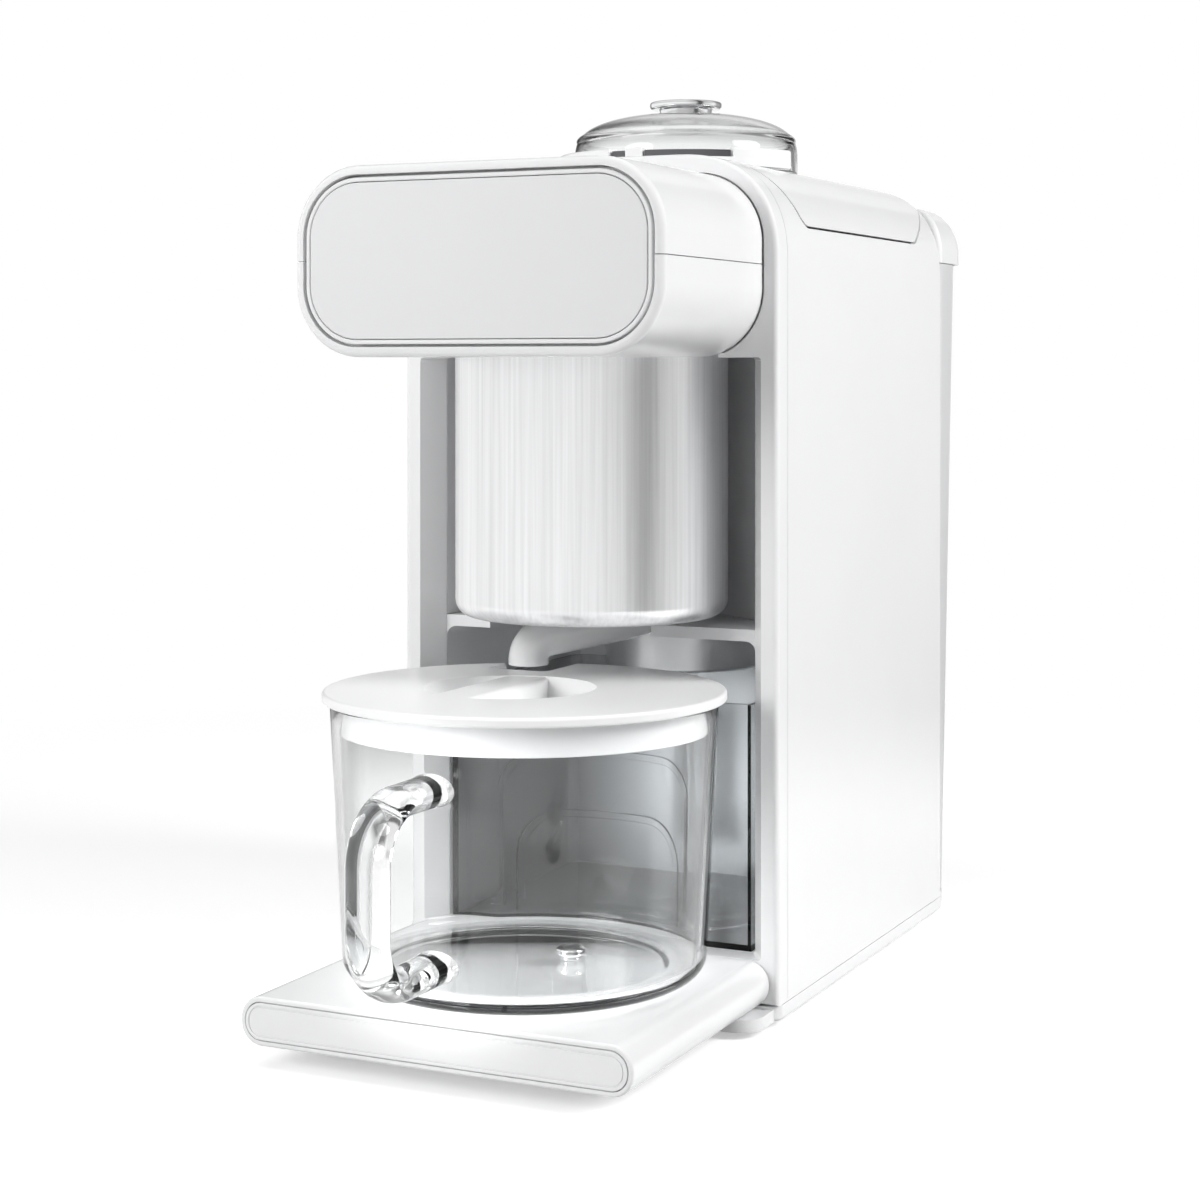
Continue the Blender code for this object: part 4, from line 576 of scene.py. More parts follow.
def drawn(work, vector, scale=None, about=None):
    """The flat face drawn out along a vector, and its far end scaled about a point."""
    made = bmesh.ops.extrude_face_region(work, geom=work.faces[:])["geom"]
    moved = [part for part in made if isinstance(part, bmesh.types.BMVert)]
    if scale:
        bmesh.ops.scale(work, vec=scale, verts=moved, space=Matrix.Translation(-Vector(about)))
    bmesh.ops.translate(work, vec=vector, verts=moved)
    bmesh.ops.recalc_face_normals(work, faces=work.faces[:])
    return work


def from_above(z):
    return lambda across, along: (across, along, z)


def along_y(corners, start, end, segments=12):
    work = flat(corners, lambda across, up: (across, start, up), segments)
    return drawn(work, (0, end - start, 0))


def along_x(corners, start, end, segments=12):
    work = flat(corners, lambda along, up: (start, along, up), segments)
    return drawn(work, (end - start, 0, 0))


def along_z(corners, start, end, segments=12):
    return drawn(flat(corners, from_above(start), segments), (0, 0, end - start))


def box_corners(low, high, radii):
    """Corners of a rectangle, with radii for low left, low right, high right and high left."""
    places = ((low[0], low[1]), (high[0], low[1]), (high[0], high[1]), (low[0], high[1]))
    return [(*place, radius) for place, radius in zip(places, radii)]


def turned(corners, centre, steps=96, segments=6):
    """Section of corners (radius, height, rounding) turned about an upright axis."""
    work = flat(corners, lambda out, up: (centre[0] + out, centre[1], up), segments)
    bmesh.ops.delete(work, geom=work.faces[:], context="FACES_ONLY")
    on_axis = [edge for edge in work.edges
               if all(abs(vert.co.x - centre[0]) < TINY for vert in edge.verts)]
    bmesh.ops.delete(work, geom=on_axis, context="EDGES_FACES")
    bmesh.ops.spin(work, geom=work.verts[:] + work.edges[:], cent=(*centre, 0.0),
                   axis=(0, 0, 1), angle=2 * pi, steps=steps, use_merge=True)
    bmesh.ops.remove_doubles(work, verts=work.verts[:], dist=TINY)
    bmesh.ops.recalc_face_normals(work, faces=work.faces[:])
    return work


def bar(low, high):
    """Plain block, as a tool that cuts or as a core that gets its edges rounded."""
    work = bmesh.new()
    bmesh.ops.create_cube(work, size=1.0)
    low, high = Vector(low), Vector(high)
    bmesh.ops.scale(work, vec=high - low, verts=work.verts)
    bmesh.ops.translate(work, vec=(high + low) / 2, verts=work.verts)
    return work


def rod(centre, radius, low, high, steps=96):
    return turned([(0, low, 0), (radius, low, 0), (radius, high, 0), (0, high, 0)], centre, steps)


def swept(route, wide, deep, sides=24, flares=None, up=(1, 0, 0)):
    """Closed pipe along a route. wide is its half width along up, deep is across that."""
    work = bmesh.new()
    rings = []
    count = len(route)
    for n, point in enumerate(route):
        before, after = Vector(route[max(n - 1, 0)]), Vector(route[min(n + 1, count - 1)])
        forward = (after - before).normalized()
        across = (Vector(up) - forward * forward.dot(Vector(up))).normalized()
        other = forward.cross(across)
        size = flares[n] if flares else 1.0
        turn = Matrix((across * wide * size, other * deep * size, forward)).transposed().to_4x4()
        ring = bmesh.ops.create_circle(work, cap_ends=False, radius=1.0, segments=sides,
                                       matrix=Matrix.Translation(point) @ turn)["verts"]
        inside = set(ring)
        rings.append([edge for edge in {e for vert in ring for e in vert.link_edges}
                      if set(edge.verts) <= inside])
    for ring, following in zip(rings, rings[1:]):
        bmesh.ops.bridge_loops(work, edges=ring + following)
    ends = [edge for edge in work.edges if edge.is_boundary]
    bmesh.ops.holes_fill(work, edges=ends, sides=0)
    bmesh.ops.recalc_face_normals(work, faces=work.faces[:])
    return work


def arc(centre, radius, start, end, steps=10):
    """Points of a round stretch of a route, with angles in degrees."""
    turns = [radians(start + (end - start) * n / steps) for n in range(steps + 1)]
    return [(centre[0] + radius * cos(t), centre[1] + radius * sin(t)) for t in turns]


def unrounded(points):
    return [(*point, 0) for point in points]


def held(work, name):
    mesh = bpy.data.meshes.new(name)
    work.to_mesh(mesh)
    work.free()
    made = bpy.data.objects.new(name, mesh)
    bpy.context.scene.collection.objects.link(made)
    return made


def carved(work, tools, operation="DIFFERENCE"):
    """work with each tool cut out of it, joined to it or kept in common with it."""
    target = held(work, "carving")
    helpers = [held(tool, "tool") for tool in tools]
    for helper in helpers:
        step = target.modifiers.new("carve", "BOOLEAN")
        step.operation = operation
        step.solver = "EXACT"
        step.object = helper
    bpy.context.view_layer.update()
    view = bpy.context.evaluated_depsgraph_get()
    mesh = bpy.data.meshes.new_from_object(target.evaluated_get(view))
    result = bmesh.new()
    result.from_mesh(mesh)
    for used in (target, *helpers):
        old = used.data
        bpy.data.objects.remove(used)
        bpy.data.meshes.remove(old)
    bpy.data.meshes.remove(mesh)
    bmesh.ops.remove_doubles(result, verts=result.verts[:], dist=TINY)
    return result


def at_y(level, near=TINY):
    return lambda p: abs(p.y - level) < near


def at_z(level, near=TINY):
    return lambda p: abs(p.z - level) < near


def softened(work, width, segments=2, angle=40.0, where=None):
    """Rounds the sharp edges, or those of them for which where(middle of the edge) holds."""
    chosen = []
    for edge in work.edges:
        if len(edge.link_faces) != 2 or edge.calc_face_angle(0.0) < radians(angle):
            continue
        middle = (edge.verts[0].co + edge.verts[1].co) / 2
        if where is None or where(middle):
            chosen.append(edge)
    bmesh.ops.bevel(work, geom=chosen, offset=width, offset_type="OFFSET", affect="EDGES",
                    segments=segments, profile=0.5, material=-1, clamp_overlap=True)
    bmesh.ops.dissolve_degenerate(work, dist=TINY, edges=work.edges)
    return work


def piece(name, work, look, body, node, angle=35.0, even=True):
    """A finished piece: smooth shading, its finish, the body it rides on and the node it shows."""
    made = held(work, name)
    made.data.shade_smooth()
    made.data.set_sharp_from_angle(angle=radians(angle))
    made.data.materials.append(LOOKS[look])
    if even:
        made.modifiers.new("even_shading", "WEIGHTED_NORMAL").keep_sharp = True
    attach(made, body)
    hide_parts(node)


def copy_of(node):
    """Merged copy of a frame node's mesh, for a piece that keeps its form."""
    work = bmesh.new()
    work.from_mesh(frame["nodes"][node].data)
    bmesh.ops.remove_doubles(work, verts=work.verts[:], dist=TINY)
    bmesh.ops.dissolve_limit(work, angle_limit=radians(0.6), verts=work.verts[:],
                             edges=work.edges[:])
    return work


# Outlines of the object


def arch_corners(inset, bottom):
    """Front outline of the body: square at its foot, with squarish round corners at the top."""
    half = HALF_WIDTH - inset
    top = BODY_TOP - inset
    bend = ARCH_CORNER - inset
    corners = [(-half, bottom, 0), (half, bottom, 0)]
    for side in (1, -1):
        points = []
        for n in range(ARCH_STEPS + 1):
            turn = radians(90.0 * n / ARCH_STEPS)
            across = max(cos(turn), 0.0) ** ARCH_SHARE
            rise = max(sin(turn), 0.0) ** ARCH_SHARE
            points.append((side * (half - bend + bend * across), top - bend + bend * rise, 0))
        corners += points if side == 1 else reversed(points)
    return corners


def head_corners(inset):
    return box_corners((HEAD_LOW.x + inset, HEAD_LOW.z + inset),
                       (HEAD_HIGH.x - inset, HEAD_HIGH.z - inset), (HEAD_CORNER - inset,) * 4)


def head_prism(inset, start, end, segments=20):
    return along_y(head_corners(inset), start, end, segments)


def tray_prism(inset, start, end):
    radius = (TRAY_HIGH.z - TRAY_LOW.z) / 2 - inset
    corners = box_corners((TRAY_LOW.x + inset, TRAY_LOW.z + inset),
                          (TRAY_HIGH.x - inset, TRAY_HIGH.z - inset), (radius - TRAY_EASE,) * 4)
    return along_y(corners, start, end, 14)


def cover_prism(gap):
    """The top cover's side view, grown by a gap, drawn across the body."""
    low = COVER_SEAM - gap
    start, end = COVER_SHOULDER - gap, COVER_REAR + gap
    top = BODY_TOP + OVER
    rise = top - low
    corners = [
        (FRONT + COVER_FRONT - gap, top, 0),
        (FRONT + start, low, COVER_CORNER),
        (FRONT + end, low, COVER_CORNER * 0.6),
        (FRONT + end + COVER_SLOPE + rise * 0.5, top, 0),
    ]
    return along_x(corners, -HALF_WIDTH - OVER, HALF_WIDTH + OVER)


# Body


def build_front_frame(sizes):
    work = along_y(arch_corners(0, BODY_FOOT), FRONT, FRAME_BACK)
    softened(work, sizes.frame_round, 4, where=at_y(FRONT))
    half = HALF_WIDTH - BAND
    spread = BAY_HALF / half
    corners = box_corners((-half, OPENING_LOW), (half, HEAD_LOW.z), (OPENING_CORNER,) * 4)
    tool = flat(corners, lambda across, up: (across, FRONT, up), 8)
    depth = FRAME_BACK - FRONT
    drawn(tool, (0, depth, 0), (spread, 1, 1), (0, 0, 0))
    longer = 1 + (1 - spread) * OVER / depth
    for vert in tool.verts:
        back = vert.co.y > FRONT + depth / 2
        vert.co.y += OVER if back else -OVER
        vert.co.x *= 2 - longer if back else longer
    seat = rod(CHAMBER, SLEEVE_RADIUS + SEAT_GAP, HEAD_LOW.z - OVER, HEAD_LOW.z + SEAT_HEIGHT)
    core = head_prism(HEAD_SLOT_INNER, FRONT - OVER * 2, FRONT + OVER * 4)
    under = bar((-HALF_WIDTH, FRONT - OVER * 2, HEAD_LOW.z - OVER),
                (HALF_WIDTH, FRONT + OVER * 4, HEAD_LOW.z + OVER))
    slot = carved(head_prism(-HEAD_SLOT, FRONT - OVER, FRONT + HEAD_SLOT_DEPTH), [core, under])
    work = carved(work, [tool, seat, slot])
    softened(work, OPENING_ROUND, 3, 30.0,
             lambda p: abs(p.y - FRONT) < TINY * 10 and p.z < HEAD_LOW.z - OVER)
    piece("front_arch", work, "white_gloss", "machine", "front_frame")


def shell_blank():
    """The body behind the front frame, with its rear edge rounded."""
    work = along_y(arch_corners(0, BODY_FOOT), FRAME_BACK + SEAM_GAP, BODY_BACK)
    return softened(work, SHELL_ROUND, 3, where=at_y(BODY_BACK))


def shell_hollow(reach):
    return along_y(arch_corners(SHELL_WALL, BODY_FOOT - OVER), FRAME_BACK + SEAM_GAP - reach,
                   BODY_BACK - SHELL_WALL)


def build_housing(sizes):
    low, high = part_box("power_inlet")
    hole = bar((low.x - OVER, low.y - SEAM_GAP, low.z - SEAM_GAP),
               (low.x + SHELL_WALL * 2, high.y + SEAM_GAP, high.z + SEAM_GAP))
    work = carved(shell_blank(), [shell_hollow(OVER), hole, cover_prism(COVER_GAP)])
    softened(work, sizes.seam_round, 2, 50.0)
    piece("side_shell", work, "white_gloss", "machine", "main_housing")

    hole = rod(GRINDER, CUP_HIGH.x - 0.0020, BODY_TOP - OVER * 3, BODY_TOP + OVER * 2)
    work = carved(shell_blank(), [cover_prism(0.0)], "INTERSECT")
    work = carved(work, [shell_hollow(OVER * 2), hole])
    softened(work, sizes.seam_round, 2, 50.0)
    piece("top_shell", work, "white_gloss", "machine", "top_cover")


def build_base(sizes):
    shelf = TANK_LID_HIGH.x - TANK_TAPER + SEAM_GAP
    corners = [(-HALF_WIDTH, FRONT, BASE_CORNER), (HALF_WIDTH, FRONT, BASE_CORNER),
               (HALF_WIDTH, BODY_BACK, 0), (shelf, BODY_BACK, 0),
               (shelf, BASE_HIGH.y, SHELF_CORNER), (-shelf, BASE_HIGH.y, SHELF_CORNER),
               (-shelf, BODY_BACK, 0), (-HALF_WIDTH, BODY_BACK, 0)]
    top = BODY_FOOT - SEAM_GAP
    work = along_z(corners, BASE_LOW.z, top, 8)
    softened(work, BASE_ROUND, 3, where=at_z(BASE_LOW.z))
    corners = box_corners((-TONGUE_HALF, BASE_LOW.y), (TONGUE_HALF, FRONT + TONGUE_BACK),
                          (TONGUE_CORNER,) * 4)
    tongue = along_z(corners, BASE_LOW.z, BASE_LOW.z + TONGUE_HIGH, 8)
    root = top - SPIGOT_ROOT
    spigot = turned([(0, root, 0), (SPIGOT_RADIUS, root, 0), (SPIGOT_RADIUS, BASE_HIGH.z, 0.0008),
                     (0, BASE_HIGH.z, 0)], centre_of("tank_valve"), 32, 3)
    work = carved(work, [tongue, spigot], "UNION")
    softened(work, sizes.seam_round, 2, 50.0)
    piece("base", work, "white_gloss", "machine", "base_plate")

    for node in FEET:
        low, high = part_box(node)
        radius = (high.x - low.x) / 2
        corners = [(0, 0.0006, 0), (radius * 0.55, 0.0006, 0), (radius * 0.62, 0, 0.0003),
                   (radius * 0.92, 0, 0.0004), (radius, 0.0012, 0.0004), (radius, high.z, 0),
                   (0, high.z, 0)]
        piece(node + "_pad", turned(corners, centre_of(node), 48, 3), "dark_rubber", "machine",
              node)


def build_tray(sizes):
    front, back = TRAY_LOW.y, TRAY_HIGH.y
    work = tray_prism(0, front, back)
    softened(work, TRAY_ROUND, 3, where=at_y(front))
    work = carved(work, [tray_prism(TRAY_POCKET, front - OVER, front + TRAY_POCKET_DEPTH)])
    softened(work, 0.0003, 2, 50.0, at_y(front, TINY * 10))
    piece("jug_tray", work, "white_gloss", "machine", "tray")

    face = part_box("tray_trim")[0].y
    work = tray_prism(TRIM_INSET, face, face + TRIM_THICK)
    softened(work, 0.0004, 2, where=at_y(face))
    outer, inner = TRIM_GROOVE
    groove = carved(tray_prism(outer, face - OVER, face + TRIM_GROOVE_DEPTH),
                    [tray_prism(inner, face - OVER * 2, face + OVER)])
    work = softened(carved(work, [groove]), 0.00015, 2, 50.0, lambda p: p.y < face + 0.0003)
    piece("tray_front", work, "white_gloss", "machine", "tray_trim")


def build_liners(sizes):
    front = FRAME_BACK + SEAM_GAP
    outer = box_corners((-BAY_HALF - BAY_WALL, OPENING_LOW - BAY_WALL),
                        (BAY_HALF + BAY_WALL, BAY_TOP + BAY_ROOF), (BAY_WALL,) * 4)
    inner = box_corners((-BAY_HALF, OPENING_LOW), (BAY_HALF, BAY_TOP),
                        (OPENING_CORNER, OPENING_CORNER, BAY_BEND, BAY_BEND))
    work = along_y(outer, front, BAY_BACK + BAY_WALL, 4)
    hollow = along_y(inner, front - OVER, BAY_BACK, 10)
    motor = rod(GRINDER, MOTOR_RADIUS + SEAM_GAP, BAY_TOP - OVER, BAY_TOP + BAY_ROOF + OVER)
    low = (PIVOT[0] - (SPOUT_REACH + SPOUT_RADIUS) - SHARP, FRONT)
    high = (PIVOT[0] + 0.0120, NICHE_BACK - NICHE_WALL)
    window = along_z(box_corners(low, high, (SHARP, SHARP, BAY_CORNER, BAY_CORNER)),
                     BAY_TOP - BAY_CORNER, BAY_TOP + BAY_ROOF + OVER, 8)
    work = carved(work, [hollow, motor, window])
    softened(work, BAY_ROUND, 2, 50.0, lambda p: p.z > BAY_TOP - 0.001 and p.y > front + 0.001)
    piece("bay_walls", work, "white_satin", "machine", "bay_liner")

    low = BAY_TOP + BAY_ROOF + SEAM_GAP
    top = HEAD_LOW.z + NICHE_WALL
    work = along_z(niche_corners(NICHE_WALL, front), low, top)
    hollow = along_z(niche_corners(0.0, front - OVER), low - OVER, HEAD_LOW.z)
    hole = rod(CHAMBER, SLEEVE_RADIUS + SEAM_GAP, HEAD_LOW.z - OVER, top + OVER)
    work = carved(work, [hollow, hole])
    piece("niche_wall", work, "white_satin", "machine", "niche_liner")


def niche_corners(grow, front):
    """Half ellipse behind the steel sleeve, open to the front."""
    half = BAY_HALF + grow
    depth = NICHE_BACK - FRAME_BACK + grow
    corners = [(-half, front, 0), (half, front, 0)]
    for n in range(1, NICHE_STEPS):
        turn = pi * n / NICHE_STEPS
        corners.append((half * cos(turn), FRAME_BACK + depth * sin(turn), 0))
    return corners


# Head


def head_half(sizes, low, high, name, node, extra):
    """The head between two heights: rim, groove round the plate, and hollow behind."""
    front, back = HEAD_LOW.y, HEAD_HIGH.y
    work = head_prism(0, front, back)
    softened(work, sizes.head_round, 5, where=at_y(front))
    floor = front + FACE_THICK + FACE_BACK + SEAM_GAP
    groove = carved(head_prism(FACE_RIM, front, front + FACE_GROOVE_DEPTH),
                    [head_prism(FACE_RIM + FACE_GROOVE, front - OVER, back)])
    tools = [
        head_prism(SHELL_WALL, floor + SHELL_WALL, back + OVER, 16),
        head_prism(FACE_RIM, front - OVER, floor),
        head_prism(FACE_RIM * 2, front - OVER, floor + SHELL_WALL * 2, 16),
        groove,
        extra,
    ]
    part = bar((HEAD_LOW.x - OVER, front - OVER, low), (HEAD_HIGH.x + OVER, back + OVER, high))
    work = carved(carved(work, tools), [part], "INTERSECT")
    softened(work, sizes.seam_round * 0.7, 2, 50.0)
    piece(name, work, "white_gloss", "machine", node)


def build_head(sizes):
    low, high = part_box("control_panel")
    recess = along_z(box_corners((low.x - SEAM_GAP, low.y - SEAM_GAP),
                                 (high.x + SEAM_GAP, high.y + SEAM_GAP), (PANEL_CORNER,) * 4),
                     low.z - SEAM_GAP, HEAD_HIGH.z + OVER, 8)
    head_half(sizes, HEAD_SEAM, HEAD_HIGH.z + OVER, "head_top", "head_upper_shell", recess)
    hole = rod(CHAMBER, SLEEVE_RADIUS + SEAM_GAP, HEAD_LOW.z - OVER,
               HEAD_LOW.z + SHELL_WALL + OVER)
    head_half(sizes, HEAD_LOW.z - OVER, HEAD_SEAM - SEAM_GAP, "head_bottom", "head_lower_shell",
              hole)

    front = HEAD_LOW.y + FACE_BACK
    back = front + FACE_THICK
    inset = FACE_RIM + FACE_GROOVE
    work = carved(head_prism(inset, front, back),
                  [head_prism(inset + FACE_RING, front - OVER, back + OVER)])
    softened(work, 0.0005, 3, 50.0, lambda p: p.y < front + 0.001)
    piece("front_ring", work, "white_gloss", "machine", "face_ring")

    work = head_prism(inset + (FACE_RING + SEAM_GAP), front, back)
    softened(work, 0.0004, 3, where=at_y(front))
    piece("front_plate", work, "pale_grey", "machine", "face_plate")

    work = along_z(box_corners(low.xy, high.xy, (PANEL_CORNER,) * 4), low.z, high.z, 8)
    softened(work, 0.0003, 2, where=at_z(high.z))
    spacing = (high.x - low.x) / PANEL_KEYS
    middle = (low.y + high.y) / 2
    keys = [rod((low.x + spacing * (n + 0.5), middle), spacing * KEY_SHARE, high.z - KEY_DEPTH,
                high.z + OVER, 40) for n in range(PANEL_KEYS)]
    work = carved(work, keys)
    softened(work, 0.0001, 2, 50.0, lambda p: p.z > high.z - 0.0004)
    piece("touch_panel", work, "white_satin", "machine", "control_panel")


# Grinding unit and dome lid


def build_grinder(sizes):
    rim, top = CUP_HIGH.x, CUP_HIGH.z
    wall, low = CUP_WALL, CUP_LOW.z
    corners = [(SHAFT_HOLE, low, 0), (CUP_FOOT, low, 0.008), (rim - CUP_RIM, top - wall, 0),
               (rim, top - wall, 0.0004), (rim, top, 0.0005), (rim - CUP_RIM - wall, top, 0.0005),
               (CUP_FOOT - wall, low + wall, 0.0068), (SHAFT_HOLE, low + wall, 0)]
    piece("bean_cup", turned(corners, GRINDER), "polished_steel", "machine", "grinding_cup")

    low, high, radius, wall = MOTOR_LOW.z, MOTOR_HIGH.z, MOTOR_RADIUS, MOTOR_WALL
    corners = [(0, low + 0.0008, 0), (radius - 0.0065, low + 0.0008, 0.0004),
               (radius - 0.0052, low, 0.0004), (radius, low, 0.0020),
               (radius, high, 0.0006), (SHAFT_HOLE, high, 0), (SHAFT_HOLE, high - wall, 0),
               (radius - wall, high - wall, 0), (radius - wall, low + 0.0028, 0),
               (0, low + 0.0028, 0)]
    piece("motor_can", turned(corners, GRINDER, 112), "cast_aluminium", "machine",
          "motor_housing")

    work = softened(copy_of("blade"), 0.00025, 2, 30.0)
    piece("cutting_blade", work, "polished_steel", "grinder", "blade")


def build_dome(sizes):
    radius, wall = DOME_HIGH.x, sizes.dome_wall
    foot, crown = DOME_LOW.z, DOME_HIGH.z
    shoulder = crown - DOME_SHOULDER
    bead = crown - BEAD_DROP
    outside = [(out + BEAD_PROUD * max(1 - ((up - bead) / BEAD_HEIGHT) ** 2, 0), up, 0)
               for out, up in dome_curve(radius, shoulder, crown, 66)]
    inside = unrounded(dome_curve(radius - wall, shoulder - wall * 0.5, crown - wall, 22))
    corners = [*outside, (radius, foot + 0.0026, 0), (radius, foot, 0.0006),
               (radius - wall, foot, 0.0004), *reversed(inside)]
    piece("dome_glass", turned(corners, GRINDER, 112), "clear_glass", "dome_lid", "dome")

    low, top, edge = KNOB_LOW.z, KNOB_HIGH.z, KNOB_HIGH.x
    base, seat = low + NECK_HEIGHT, low - 0.0006
    corners = [(0, top - 0.0004, 0), (edge * 0.78, top - 0.0004, 0.0006),
               (edge * 0.84, top, 0.0004), (edge - 0.0004, top, 0.0008),
               (edge, (top + base) / 2, 0.0009), (edge - 0.0007, base, 0.0008),
               (NECK_RADIUS, base, 0.0006), (NECK_RADIUS - 0.0004, seat, 0), (0, seat, 0)]
    piece("dome_handle", turned(corners, GRINDER, 96), "polished_steel", "dome_lid", "dome_knob")

    low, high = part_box("cup_gasket")
    outer = high.x
    corners = [(outer - 0.006, low.z, 0.0004), (outer, low.z, 0.0006), (outer, high.z, 0.0006),
               (outer - 0.002, high.z, 0.0004), (outer - 0.0026, high.z - 0.0006, 0.0002),
               (outer - 0.0034, high.z, 0.0003), (outer - 0.006, high.z, 0.0006)]
    piece("cup_seal", turned(corners, GRINDER), "silicone", "dome_carrier", "cup_gasket")

    low, top = (corner.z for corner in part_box("lid_collar"))
    outer, inner, floor = COLLAR_OUTER, COLLAR_INNER, top - COLLAR_SLOT_DEPTH
    corners = [(inner, low, 0), (outer, low, 0), (outer, top, 0.0012), (inner, top, 0.0008)]
    behind = GRINDER[1] - outer * cos(radians(COLLAR_REACH))
    tools = [bar((-0.08, behind, low - OVER), (0.08, GRINDER[1] + 0.08, top + OVER))]
    tools += [wedge(start, end, floor, top + OVER) for start, end in COLLAR_SLOTS]
    work = softened(carved(turned(corners, GRINDER, 144), tools), 0.0005, 2, 50.0)
    piece("dome_collar", work, "white_gloss", "machine", "lid_collar")

    inner, outer, high = inner + 0.0008, outer - 0.0012, top - 0.0012
    corners = [(inner, floor, 0), (outer, floor, 0), (outer, high, 0.0004), (inner, high, 0.0004)]
    for n, (start, end) in enumerate(COLLAR_SLOTS):
        stretch = wedge(start + INSERT_GAP, end - INSERT_GAP, floor - OVER, top + OVER)
        work = carved(turned(corners, GRINDER, 144), [stretch], "INTERSECT")
        softened(work, 0.0003, 2, 50.0)
        piece("collar_insert_%d" % (n + 1), work, "dark_iron", "machine", "lid_collar")


def wedge(start, end, low, high):
    """Stretch of a ring round the grinder, between two angles from the front, in degrees."""
    outside = arc(GRINDER, 0.07, start - 90.0, end - 90.0, 12)
    inside = arc(GRINDER, 0.05, start - 90.0, end - 90.0, 12)
    return along_z(unrounded([*outside, *reversed(inside)]), low, high)


def dome_curve(radius, shoulder, crown, steps):
    points = []
    for n in range(steps + 1):
        turn = radians(90.0 - 90.0 * n / steps)
        out = max(cos(turn), 0.0) ** DOME_ACROSS_SHARE
        up = max(sin(turn), 0.0) ** DOME_RISE_SHARE
        points.append((radius * out if n else 0.0, shoulder + (crown - shoulder) * up))
    return points


# Chamber and spout


def build_chamber(sizes):
    low, top = SLEEVE_LOW.z, SLEEVE_HIGH.z
    radius, flange = SLEEVE_RADIUS, SLEEVE_HIGH.x
    wall, bend = SLEEVE_WALL, SLEEVE_BEND
    seat = top - wall
    middle = (radius - bend, low + bend)
    corners = unrounded([*arc(middle, bend - wall, -90, 0, 8), (radius - wall, top),
                         (flange, top), (flange, seat), (radius, seat),
                         *arc(middle, bend, 0, -90, 10)])
    piece("steel_sleeve", turned(corners, CHAMBER, 160), "brushed_steel", "machine",
          "chamber_sleeve")

    way = Vector((-SPOUT_ACROSS, -SPOUT_FORWARD, 0)).normalized()
    aside = way.cross(Vector((0, 0, 1)))
    points = [Vector((*PIVOT, up)) + way * out for out, up in spout_route()]
    work = swept(points, SPOUT_RADIUS, SPOUT_RADIUS, 40, up=aside)
    points[0] += Vector((0, 0, OVER))
    points[-1] -= Vector((0, 0, OVER))
    bore = swept(points, SPOUT_RADIUS - SPOUT_WALL, SPOUT_RADIUS - SPOUT_WALL, 32, up=aside)
    work = softened(carved(work, [bore]), 0.0006, 3, 50.0)
    piece("pouring_spout", work, "white_gloss", "spout", "spout")


def spout_route():
    """Side view of the spout's middle line: down, across on a slope, and down again."""
    top, low, reach = SPOUT_HIGH.z, SPOUT_LOW.z, SPOUT_REACH
    bend, slope = SPOUT_BEND, radians(SPOUT_SLOPE)
    turn_out = bend * (1 - cos(slope))
    turn_down = bend * sin(slope)
    fall = (reach - 2 * turn_out) / (sin(slope) / cos(slope))
    lead = (top - low - 2 * turn_down - fall) / 2
    first = [(bend * (1 - cos(slope * n / 10)), top - lead - bend * sin(slope * n / 10))
             for n in range(11)]
    second = [(reach - out, top + low - up) for out, up in reversed(first)]
    return [(0, top), *first, *second, (reach, low)]


# Jug


def jug_radius(height):
    share = (height - JUG_LOW.z) / (JUG_HIGH.z - JUG_LOW.z)
    return JUG_FOOT_RADIUS + (JUG_TOP_RADIUS - JUG_FOOT_RADIUS) * share


